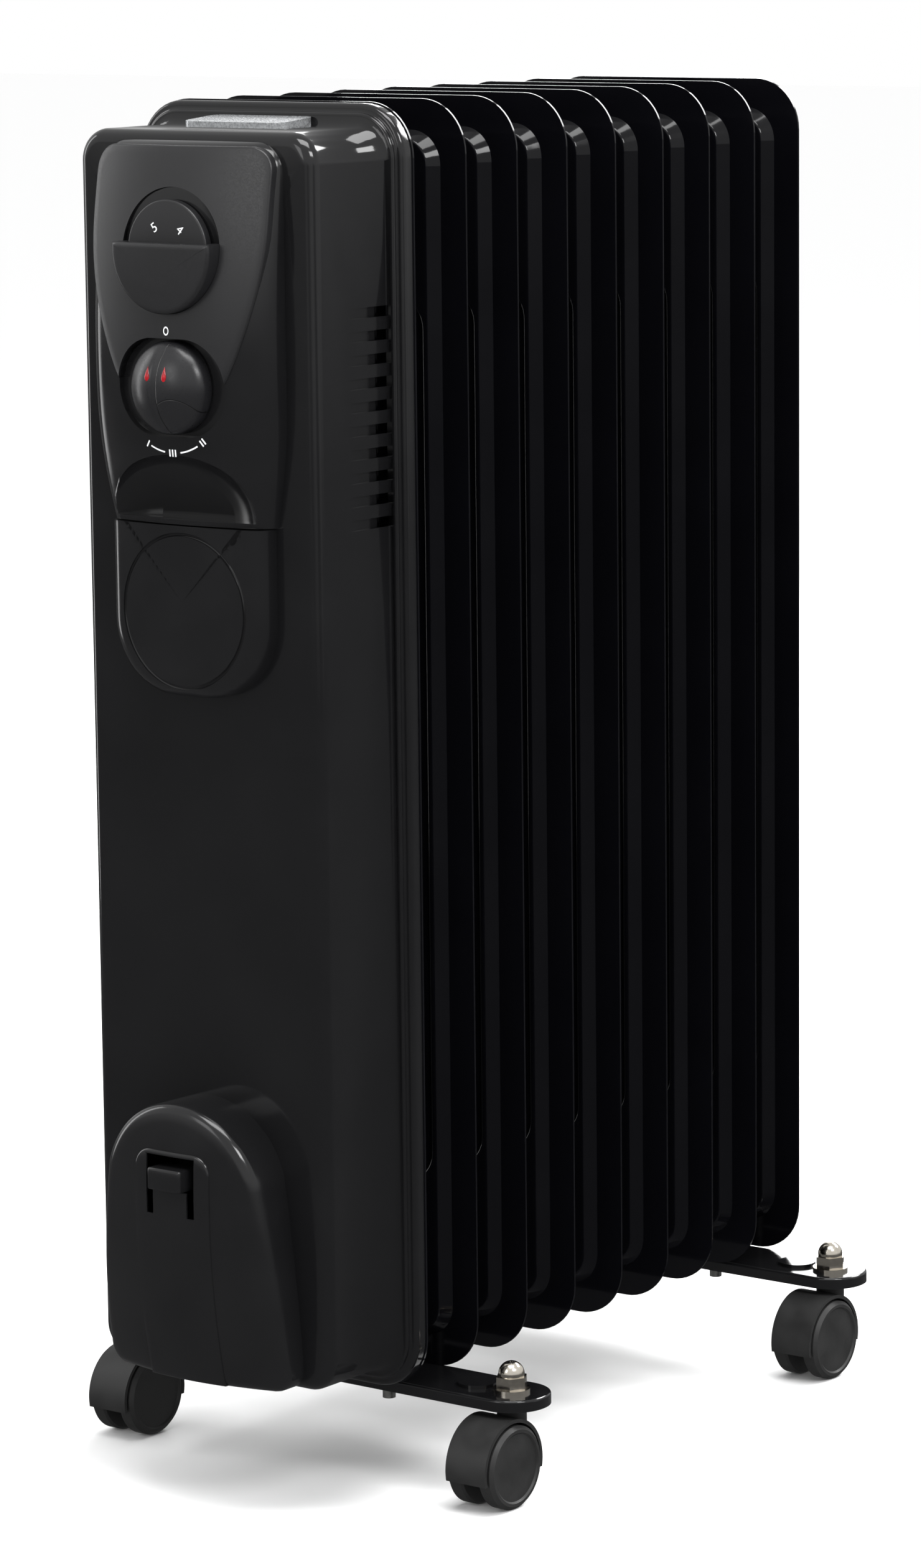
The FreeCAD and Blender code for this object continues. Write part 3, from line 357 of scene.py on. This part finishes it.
def spaced(points, step):
    # the closed outline with its long sides divided
    out = []
    for k, here in enumerate(points):
        there = points[(k + 1) % len(points)]
        parts = round(math.dist(here, there) / step + 0.4)
        out += [(here[0] + (there[0] - here[0]) * n / parts, here[1] + (there[1] - here[1]) * n / parts)
                for n in range(parts)]
    return out


def insetOutline(outline, distance):
    # the outline moved inwards by this distance, corner by corner
    moved = []
    for k, (x, z) in enumerate(outline):
        before, after = Vector(outline[k - 1]), Vector(outline[(k + 1) % len(outline)])
        first, second = (Vector((x, z)) - before).normalized(), (after - Vector((x, z))).normalized()
        inwards = Vector((-first.y - second.y, first.x + second.x)).normalized()
        square = max(0.6, inwards.dot(Vector((-first.y, first.x))))      # no long spikes at sharp corners
        moved.append((x + inwards.x * distance / square, z + inwards.y * distance / square))
    return moved


def bowedPlate(name, outline, front, edge, back, steps=5, fill=16):
    # a disc is pulled to the outline, inset in steps round the edge, then drawn in to the middle
    bpy.ops.mesh.primitive_circle_add(vertices=len(outline), radius=1, fill_type="NGON",
                                      rotation=(math.pi / 2, 0, 0))
    piece = settle(started(name))
    for point, (x, z) in zip(piece.data.vertices, outline):
        point.co = (x * mm, (front(x, z) + edge) * mm, z * mm)
    choose(piece)
    bpy.ops.object.mode_set(mode="EDIT")
    bpy.ops.mesh.select_mode(type="FACE")
    bpy.ops.mesh.select_all(action="SELECT")
    mesh = bmesh.from_edit_mesh(piece.data)
    rings = [(outline, edge)]
    for step in range(1, steps + 1):
        turn = math.radians(90 * step / steps)
        rings.append((insetOutline(outline, edge * (1 - math.cos(turn))), edge * (1 - math.sin(turn))))
    middle = [sum(p[k] for p in outline) / len(outline) for k in (0, 1)]
    inner = rings[-1][0]
    for ring in range(1, fill):
        share = 1 - ring / fill
        rings.append(([(middle[0] + (x - middle[0]) * share, middle[1] + (z - middle[1]) * share)
                       for x, z in inner], 0))
    for (before, _), (now, drop) in zip(rings, rings[1:]):
        bpy.ops.mesh.inset(thickness=0)
        for point in [p for p in mesh.verts if p.select]:
            here = (point.co.x / mm, point.co.z / mm)
            x, z = now[min(range(len(before)), key=lambda k: math.dist(before[k], here))]
            point.co = (x * mm, (front(x, z) + drop) * mm, z * mm)
    bpy.ops.mesh.poke()
    bpy.ops.mesh.select_mode(type="EDGE")
    bpy.ops.mesh.select_all(action="DESELECT")
    for side in mesh.edges:
        side.select_set(side.is_boundary)
    bpy.ops.mesh.extrude_region()
    for point in [p for p in mesh.verts if p.select]:
        point.co.y = back * mm
    bpy.ops.mesh.edge_face_add()
    bpy.ops.mesh.select_all(action="SELECT")
    bpy.ops.mesh.normals_make_consistent(inside=False)
    if mesh.calc_volume(signed=True) < 0:
        bpy.ops.mesh.flip_normals()
    bpy.ops.object.mode_set(mode="OBJECT")
    return piece


def ball(name, centre, radii, segments=64, rings=40):
    bpy.ops.mesh.primitive_uv_sphere_add(segments=segments, ring_count=rings, radius=1,
                                         location=[c * mm for c in centre])
    piece = started(name)
    piece.scale = [r * mm for r in radii]
    return settle(piece)


# control box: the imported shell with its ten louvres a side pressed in
louvre = {"count": 10, "top": 538, "pitch": 10.26, "height": 4.6, "front": 35, "back": 8.5,
          "half": 66, "cut": (4, 2), "vane": 0.8, "lap": 0.6, "sink": 0.5, "rearSink": 1.6, "window": 7}


def makeLouvres():
    box = mergedCopy("control_box_shell", "control_box")
    start, end = seam - louvre["front"], seam - louvre["back"]
    outside = Vector((3 * louvre["half"], start, knobZ)) * mm
    wall = box.ray_cast(outside, Vector((-1, 0, 0)))[1].x / mm
    cutInside, cutOutside = louvre["cut"]
    tools, vanes = [], []
    for side in (-1, 1):
        for step in range(louvre["count"]):
            z = louvre["top"] - step * louvre["pitch"]
            low, high = z - louvre["height"] / 2, z + louvre["height"] / 2
            inner, outer = side * (louvre["half"] - cutInside), side * (louvre["half"] + cutOutside)
            tools.append(bar("louvre_tool", (min(inner, outer), start, low), (max(inner, outer), end, high)))
            vane = bar("louvre_vane", (-louvre["vane"] / 2, 0, low - louvre["lap"]),
                       (louvre["vane"] / 2, 1, high + louvre["lap"]))
            for point in vane.data.vertices:
                rear = point.co.y > 0.5 * mm
                sink = louvre["rearSink"] if rear else louvre["sink"]
                point.co.x += side * (wall - sink - louvre["vane"] / 2) * mm
                point.co.y = (end - louvre["window"] if rear else start - louvre["lap"]) * mm
            vanes.append(vane)
    box = carve(box, joined(tools, "louvre_tools"))
    return finished(joined([box] + vanes, "control_box"), "radiator", "black_enamel", ["control_box_shell"])


makeLouvres()
print("louvres pressed")

# fascia: a glossy bowed moulding with a dial cup, a knob cup and a finger scoop
fascia = {"top": 613, "bottom": 446.2, "half": 50.5, "foot": 43.5, "turn": 500, "corner": 13,
          "edge": 7, "floor": 73.5, "dialCup": 27.4, "knobCup": 21.5, "knobSide": 8.5, "scoopBottom": 448.4,
          "scoop": (41.5, 15.5, 29.5), "scoopForward": 0.5, "scoopCut": (60, 120, 40, 380), "bevel": 0.7}


# what the fascia and the lip are drawn past their common seam before they are cut square there
spare = 10


def fasciaOutline():
    half, top, low = fascia["half"], fascia["top"], fascia["bottom"] - spare
    foot, corner = fascia["foot"], fascia["corner"]
    rise = fascia["turn"] - low
    side = [(foot + (half - foot) * math.sin(math.radians(90 * k / 8)), low + rise * k / 8) for k in range(9)]
    return spaced(mirrored(side + arcPoints((half - corner, top - corner), corner, 0, 90)), 5)


def controlCups(floor, drop):
    # the dial's round pocket and the knob's wider one, as cutting tools down to this distance from
    # the seam; the middle of the knob's one reaches this far below its centre
    tools = [rod("dial_cup", fascia["dialCup"], (0, cupMouth, dialZ), (0, seam - floor, dialZ))]
    side, radius = fascia["knobSide"], fascia["knobCup"]
    for x in (-side, side):
        tools.append(rod("knob_cup", radius, (x, cupMouth, knobZ), (x, seam - floor, knobZ)))
    tools.append(bar("knob_cup_middle", (-side, cupMouth, knobZ - drop),
                     (side, seam - floor, knobZ + radius)))
    return tools


def makeFascia():
    piece = bowedPlate("fascia", fasciaOutline(), fasciaFront, fascia["edge"], behindBox)
    carve(piece, bar("seam_cut", (-beside, beyond, fascia["bottom"] - 2 * spare),
                     (beside, pastBack, fascia["bottom"])))
    for tool in controlCups(fascia["floor"], fascia["knobCup"]):
        carve(piece, tool)
    low = fascia["scoopBottom"]
    scoop = ball("scoop", (0, fasciaFront(0, low) - fascia["scoopForward"], low), fascia["scoop"])
    wide, ahead, behind, deep = fascia["scoopCut"]
    carve(scoop, bar("scoop_floor", (-wide, seam - ahead, deep), (wide, seam - behind, low)))
    carve(piece, scoop)
    applied(piece, "BEVEL", width=fascia["bevel"] * mm, segments=2, limit_method="ANGLE",
            angle_limit=math.radians(50))
    return finished(piece, "radiator", "gloss_abs", ["fascia_panel"])


makeFascia()

# the shield: a thin satin moulding on the fascia, drawn in to the knob's cup
shield = {"half": 49, "top": 611, "corner": 11, "shoulder": 578, "tip": 28, "proud": 1.0, "edge": 0.8,
          "sweep": 0.85, "cupFloor": 60, "cupDrop": 30}


def makeShield():
    rise = shield["shoulder"] - knobZ
    spread = shield["half"] - shield["tip"]
    side = [(shield["tip"] + spread * math.sin(math.radians(90 * k / 12)) ** shield["sweep"],
             knobZ + rise * k / 12) for k in range(13)]
    corner = shield["corner"]
    top = arcPoints((shield["half"] - corner, shield["top"] - corner), corner, 0, 90)
    outline = spaced(mirrored(side + top), 4)

    def front(x, z):
        return fasciaFront(x, z) - shield["proud"]
    piece = bowedPlate("shield", outline, front, shield["edge"], behindBox, steps=3)
    for tool in controlCups(shield["cupFloor"], shield["cupDrop"]):
        carve(piece, tool)
    return finished(piece, "radiator", "satin_inlay", ["fascia_shield"])


makeShield()
print("fascia and shield moulded")

# dial, its numerals and the half-moon cover
dial = {"radius": 22.2, "face": 78.6, "floor": 74.2, "numerals": 5, "firstAngle": -34, "step": 74,
        "ring": 11.8, "size": 6.0, "ink": 0.12}


def numeral(text, size, x, y, z, turn):
    # a figure standing on the face, turned clockwise from upright, as seen from the front
    bpy.ops.object.text_add(location=(0, 0, 0))
    piece = bpy.context.active_object
    piece.data.body = text
    piece.data.size = size * mm
    piece.data.align_x = "CENTER"
    piece.data.align_y = "CENTER"
    piece.data.extrude = dial["ink"] * mm
    choose(piece)
    bpy.ops.object.convert(target="MESH")
    piece = bpy.context.active_object
    piece.rotation_euler = (math.pi / 2, 0, 0)
    settle(piece)
    piece.rotation_euler = (0, math.radians(turn), 0)
    piece.location = (x * mm, y * mm, z * mm)
    return settle(piece)


def inked(piece, body):
    piece.data.materials.clear()
    piece.data.materials.append(inkWhite)
    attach(piece, body)
    return piece


def makeDial():
    rows = []
    for k in range(dial["numerals"]):
        turn = dial["firstAngle"] + dial["step"] * k
        a = math.radians(turn)
        rows.append(numeral(str(dial["numerals"] - k), dial["size"], dial["ring"] * math.sin(a),
                            seam - dial["face"], dialZ + dial["ring"] * math.cos(a), turn))
    inked(joined(rows, "dial_numerals"), "dial")
    disc = rod("dial", dial["radius"], (0, seam - dial["face"], dialZ), (0, seam - dial["floor"], dialZ), 128)
    applied(disc, "BEVEL", width=0.9 * mm, segments=4, limit_method="ANGLE")
    finished(disc, "dial", "dial_abs", ["thermostat_dial"])


makeDial()

halfMoon = {"radius": 27.2, "face": 85.0, "inside": 79.2, "dip": 7.4, "crown": 1.2, "edge": 1.6,
            "gap": 0.8, "roomBack": 70}


def makeHalfMoon():
    def front(x, z):
        out = (x ** 2 + (z - dialZ) ** 2) / halfMoon["radius"] ** 2
        return seam - halfMoon["face"] + halfMoon["crown"] * out
    dip = halfMoon["dip"]       # degrees that the cover's arc goes past a half circle at each end
    outline = spaced(arcPoints((0, dialZ), halfMoon["radius"], -180 - dip, dip, 72), 3)
    piece = bowedPlate("half_moon_cover", outline, front, halfMoon["edge"], seam - fascia["floor"])
    carve(piece, rod("room", dial["radius"] + halfMoon["gap"], (0, seam - halfMoon["inside"], dialZ),
                     (0, seam - halfMoon["roomBack"], dialZ)))
    return finished(piece, "radiator", "satin_inlay", ["dial_window_cover"])


makeHalfMoon()

# selector knob: a dome with a curved ridge and two drop-shaped lenses
knob = {"radius": 20.5, "apex": 88.5, "rim": 80.2, "back": 74.2, "ridge": 0.55, "softness": 0.7,
        "domePower": 1.25, "bendFrom": -3.2, "bend": 0.010, "bendAbove": 0.45, "edge": 2.2, "lensX": 4.5,
        "lensZ": 6.7, "lensHalf": 1.3, "lensTall": 3.3, "lensDepth": 0.6, "lensProud": 0.1,
        "lensTip": 0.1, "lensSpread": 1.1, "lensFull": 1.3}


def knobFront(x, z):
    far = min(1, (x ** 2 + z ** 2) / knob["radius"] ** 2)
    dome = seam - knob["apex"] + (knob["apex"] - knob["rim"]) * far ** knob["domePower"]
    bend = knob["bendFrom"] + knob["bend"] * z ** 2 * (1 if z < 0 else knob["bendAbove"])
    step = 1 / (1 + math.exp(-(x - bend) / (knob["softness"] * 0.35)))
    return dome + knob["ridge"] * (step - 0.5) * (1 - far)


def makeKnob():
    outline = arcPoints((0, knobZ), knob["radius"], 0, 360 - 360 / 96, 95)

    def front(x, z):
        return knobFront(x, z - knobZ)
    piece = bowedPlate("selector_knob_cap", outline, front, knob["edge"], seam - knob["back"], steps=6,
                       fill=44)
    finished(piece, "selector", "knob_abs", ["selector_knob"], 60)
    lenses = []
    for side in (-1, 1):
        x = side * knob["lensX"]
        drop = ball("lens", (0, 0, 0), (knob["lensHalf"], knob["lensDepth"], knob["lensTall"]), 32, 24)
        for point in drop.data.vertices:
            taper = 0.5 - point.co.z / mm / knob["lensTall"] / 2
            point.co.x *= knob["lensTip"] + knob["lensSpread"] * min(1, taper * knob["lensFull"])
            point.co.x += x * mm
            point.co.z += (knobZ + knob["lensZ"]) * mm
            point.co.y += (front(x, point.co.z / mm) + knob["lensProud"]) * mm
        lenses.append(drop)
    finished(joined(lenses, "lens_pair"), "selector", "red_lens", ["selector_lenses"])


makeKnob()
print("controls made")

# printed marks round the knob: off, three heats and the arcs between them
# (angle clockwise from the top, number of strokes, lean) for each heat, and each arc's two ends
marks = {"ring": 28.6, "width": 0.66, "height": 3.1, "gap": 1.6, "depth": 0.16, "lap": 0.1, "lift": 0.05,
         "heats": ((209, 1, 33), (180, 3, 0), (144, 2, -40)), "arcs": ((205, 189), (171, 151)),
         "zero": 24.8, "zeroRadius": 1.55, "zeroLine": 0.32, "zeroShape": (0.8, 1.05, 0.25)}


def onFascia(piece, proud=0):
    for point in piece.data.vertices:
        point.co.y += (fasciaFront(point.co.x / mm, point.co.z / mm) - proud - marks["lift"]) * mm
    return piece


def stroke(x, z, turn, width, height):
    half = marks["depth"] / 2
    mark = bar("stroke", (-width / 2, -half, -height / 2), (width / 2, half, height / 2))
    mark.rotation_euler = (0, math.radians(turn), 0)
    mark.location = (x * mm, 0, z * mm)
    return settle(mark)


def heatMark(angle, count, lean):
    # count strokes side by side, at this angle clockwise from the top of the ring
    a = math.radians(angle)
    x, z = marks["ring"] * math.sin(a), knobZ + marks["ring"] * math.cos(a)
    turn = math.radians(lean)
    made = []
    for k in range(count):
        shift = (k - (count - 1) / 2) * marks["gap"]
        made.append(stroke(x + shift * math.cos(turn), z - shift * math.sin(turn), lean, marks["width"],
                           marks["height"]))
    return made


def ringStroke(start, end):
    # a printed arc, as a row of short strokes joined end to end
    points = [(marks["ring"] * math.sin(math.radians(t)), knobZ + marks["ring"] * math.cos(math.radians(t)))
              for t in [start + (end - start) * k / 8 for k in range(9)]]
    made = []
    for (x0, z0), (x1, z1) in zip(points, points[1:]):
        turn = math.degrees(math.atan2(x1 - x0, z1 - z0))
        length = math.dist((x0, z0), (x1, z1)) + marks["lap"]
        made.append(stroke((x0 + x1) / 2, (z0 + z1) / 2, turn, marks["width"], length))
    return made


def makeMarks():
    bpy.ops.mesh.primitive_torus_add(major_radius=marks["zeroRadius"] * mm,
                                     minor_radius=marks["zeroLine"] * mm, major_segments=40,
                                     minor_segments=8, rotation=(math.pi / 2, 0, 0))
    zero = started("zero")
    zero.scale = marks["zeroShape"]
    settle(zero)
    for point in zero.data.vertices:
        point.co.z += (knobZ + marks["zero"]) * mm
    onFascia(zero, shield["proud"])
    inked(zero, "radiator").name = "mark_off"
    made = [piece for heat in marks["heats"] for piece in heatMark(*heat)]
    made += [piece for arc in marks["arcs"] for piece in ringStroke(*arc)]
    inked(onFascia(joined(made, "heat_marks")), "radiator")


makeMarks()

# lip below the fascia: U-shaped, with a round groove
lip = {"half": 43.5, "bottom": 369.5, "top": 445.6, "corner": 34, "reach": 70.4, "crown": 2.2, "edge": 7,
       "disc": 34, "discZ": 407.8, "groove": 0.9, "sink": 0.7}


def makeLip():
    turn = lip["bottom"] + lip["corner"]
    side = arcPoints((lip["half"] - lip["corner"], turn), lip["corner"], -90, 0, 20)
    outline = spaced(mirrored(side + [(lip["half"], lip["top"] + spare)]), 4)

    def front(x, z):
        return seam - lip["reach"] - lip["crown"] * (1 - (x / lip["half"]) ** 2)
    piece = bowedPlate("hanging_lip", outline, front, lip["edge"], behindBox)
    carve(piece, bar("seam_cut", (-beside, beyond, lip["top"]),
                     (beside, pastBack, lip["top"] + 2 * spare)))
    bpy.ops.mesh.primitive_torus_add(major_radius=lip["disc"] * mm, minor_radius=lip["groove"] * mm,
                                     major_segments=128, minor_segments=10, rotation=(math.pi / 2, 0, 0),
                                     location=(0, 0, lip["discZ"] * mm))
    ring = settle(started("groove"))
    for point in ring.data.vertices:
        point.co.y += (front(point.co.x / mm, 0) + lip["groove"] - lip["sink"]) * mm
    carve(piece, ring)
    finished(piece, "radiator", "gloss_abs", ["cord_lip"])
    return applied(piece, "WEIGHTED_NORMAL", keep_sharp=True, weight=90)


makeLip()

# leg cover: arch-topped, bowed, with a raised middle panel and the cord clip
cover = {"foot": 51.5, "shoulder": 42, "shoulderZ": 158, "bottom": 61, "corner": 8, "arch": 44, "edge": 4,
         "panel": 21.2, "panelTop": 168, "proud": 0.9, "clip": 13.6, "clipTop": 166, "tongue": 9.6,
         "slotBottom": 139, "hookLow": 150.5, "hookTop": 161, "hookReach": 93.5, "hookBack": 80,
         "hookRound": 1.2, "cutBack": 62, "backing": (66, 64), "margin": 3, "panelBack": 68, "panelCorner": 9}


def makeLegCover():
    low, corner, foot = cover["bottom"], cover["corner"], cover["foot"]
    shoulder, level = cover["shoulder"], cover["shoulderZ"]
    rise = level - low - corner
    side = arcPoints((foot - corner, low + corner), corner, -90, 0, 6)
    side += [(foot + (shoulder - foot) * (k / 10) ** 1.3, low + corner + rise * k / 10) for k in range(1, 11)]
    drop = math.sqrt(cover["arch"] ** 2 - shoulder ** 2)
    start = math.degrees(math.atan2(drop, shoulder))
    side += arcPoints((0, level - drop), cover["arch"], start, 90, 16)[1:]
    piece = bowedPlate("leg_cover_shell", spaced(mirrored(side), 5), coverFront, cover["edge"], boxFront)

    def panelFront(x, z):
        return coverFront(x, z) - cover["proud"]
    half = cover["panel"]
    turn = cover["panelCorner"]
    wall = [(half, low + 0.6)] + [(half, low + 10 * k) for k in range(1, 10)]
    wall += arcPoints((half - turn, cover["panelTop"] - turn), turn, 0, 90, 8)
    panel = bowedPlate("panel", spaced(mirrored(wall), 4), panelFront, cover["proud"],
                       seam - cover["panelBack"], steps=3)
    cutBack = seam - cover["cutBack"]
    slots = [bar("clip_window", (-cover["clip"], beyond, cover["hookLow"]),
                 (cover["clip"], cutBack, cover["clipTop"]))]
    for sign in (-1, 1):
        across = sorted((sign * cover["tongue"], sign * cover["clip"]))
        slots.append(bar("clip_slot", (across[0], beyond, cover["slotBottom"]),
                         (across[1], cutBack, cover["hookLow"] + 1)))
    tool = slots[0]
    for more in slots[1:]:
        carve(tool, more, "UNION")
    second = tool.copy()
    second.data = tool.data.copy()
    bpy.context.scene.collection.objects.link(second)
    carve(piece, tool)
    carve(panel, second)
    tongue = cover["tongue"] - 0.2
    hook = bar("hook", (-tongue, seam - cover["hookReach"], cover["hookLow"] + 0.3),
               (tongue, seam - cover["hookBack"], cover["hookTop"]), cover["hookRound"])
    margin, (back, front) = cover["margin"], cover["backing"]
    backing = bar("clip_backing", (-cover["clip"] - margin, seam - back, cover["slotBottom"] - margin),
                  (cover["clip"] + margin, seam - front, cover["clipTop"] + margin))
    finished(joined([piece, panel, hook, backing], "leg_cover_shell"), "radiator", "gloss_abs", ["leg_cover"])


makeLegCover()
print("lip and leg cover moulded")


# stage: floor, light, camera
stage = {"floor": 30, "floorColour": "ffffff", "worldLight": 1.0, "glossLow": 0.12, "glossHigh": 0.75}
# each light panel: where it stands, where it looks, width, height, power
panels = {
    "keyOverhead": ((0.5, -0.6, 2.6), (0, 0, 0.5), 1.6, 1.0, 40),
    "leftStrip": ((-2.4, -0.6, 0.9), (0, 0, 0.4), 0.5, 2.2, 12),
    "rearHigh": ((0.5, 2.0, 1.9), (0, 0, 0.6), 1.9, 0.8, 75),
    "rightHigh": ((1.9, -0.8, 1.9), (0, 0, 0.6), 0.9, 0.6, 22),
    "frontFill": ((-0.6, -3.0, 1.6), (0, 0, 0.35), 1.0, 1.4, 10),
    "rearStrip": ((-1.4, 2.4, 1.3), (0, 0, 0.4), 0.9, 1.8, 25),
}


def addStage():
    bpy.ops.mesh.primitive_plane_add(size=stage["floor"])
    floor = bpy.context.active_object
    floor.name = "studio_floor"
    material = bpy.data.materials.new("pale painted floor")
    material.use_nodes = True
    shader = material.node_tree.nodes["Principled BSDF"]
    shader.inputs["Base Color"].default_value = fromHex(stage["floorColour"])
    shader.inputs["Roughness"].default_value = 0.9
    floor.data.materials.append(material)
    floor.visible_glossy = False
    world = bpy.data.worlds.new("studio")
    bpy.context.scene.world = world
    world.use_nodes = True
    tree = world.node_tree
    sky = tree.nodes["Background"]
    sky.inputs["Color"].default_value = (1, 1, 1, 1)
    # mirrored rays see a dim studio that brightens upwards; everything else sees plain white
    sight = addNode(tree, "ShaderNodeTexCoord")
    height = addNode(tree, "ShaderNodeSeparateXYZ", [("Vector", sight.outputs["Generated"])])
    studio = addNode(tree, "ShaderNodeMapRange", [
        ("Value", height.outputs["Z"]), ("From Min", -0.12), ("From Max", 0.12),
        ("To Min", stage["glossLow"]), ("To Max", stage["glossHigh"])], interpolation_type="SMOOTHSTEP")
    ray = addNode(tree, "ShaderNodeLightPath")
    level = addNode(tree, "ShaderNodeMix", [
        ("Factor", ray.outputs["Is Glossy Ray"]), ("A", stage["worldLight"]), ("B", studio.outputs[0])])
    tree.links.new(level.outputs[0], sky.inputs["Strength"])
    bpy.context.scene.view_settings.view_transform = "Standard"


def addPanel(name, place, target, width, height, power):
    data = bpy.data.lights.new(name, "AREA")
    data.shape = "RECTANGLE"
    data.size, data.size_y = width, height
    data.energy = power
    lamp = bpy.data.objects.new(name, data)
    bpy.context.collection.objects.link(lamp)
    lamp.location = place
    lamp.rotation_euler = (Vector(target) - Vector(place)).to_track_quat("-Z", "Y").to_euler()


addStage()
for name, values in panels.items():
    addPanel(name, *values)

cameraPlace = {
    "eye": (1.5028, -1.97626, 0.7166), "turn": 36.97, "tilt": 9.39, "roll": -0.61,
    "lens": 123.42, "sensor": 36,
}


def addCamera():
    data = bpy.data.cameras.new("camera")
    camera = bpy.data.objects.new("camera", data)
    bpy.context.collection.objects.link(camera)
    data.lens = cameraPlace["lens"]
    data.sensor_width = data.sensor_height = cameraPlace["sensor"]
    data.clip_end = 50
    turn, tilt, roll = (math.radians(cameraPlace[k]) for k in ("turn", "tilt", "roll"))
    ahead = Vector((-math.sin(turn) * math.cos(tilt), math.cos(turn) * math.cos(tilt), -math.sin(tilt)))
    right = Vector((math.cos(turn), math.sin(turn), 0))
    up = right.cross(ahead)
    rolledRight = right * math.cos(roll) + up * math.sin(roll)
    rolledUp = up * math.cos(roll) - right * math.sin(roll)
    axes = Matrix((rolledRight, rolledUp, -ahead)).transposed()
    camera.matrix_world = Matrix.Translation(cameraPlace["eye"]) @ axes.to_4x4()
    bpy.context.scene.camera = camera


addCamera()
print("stage set")
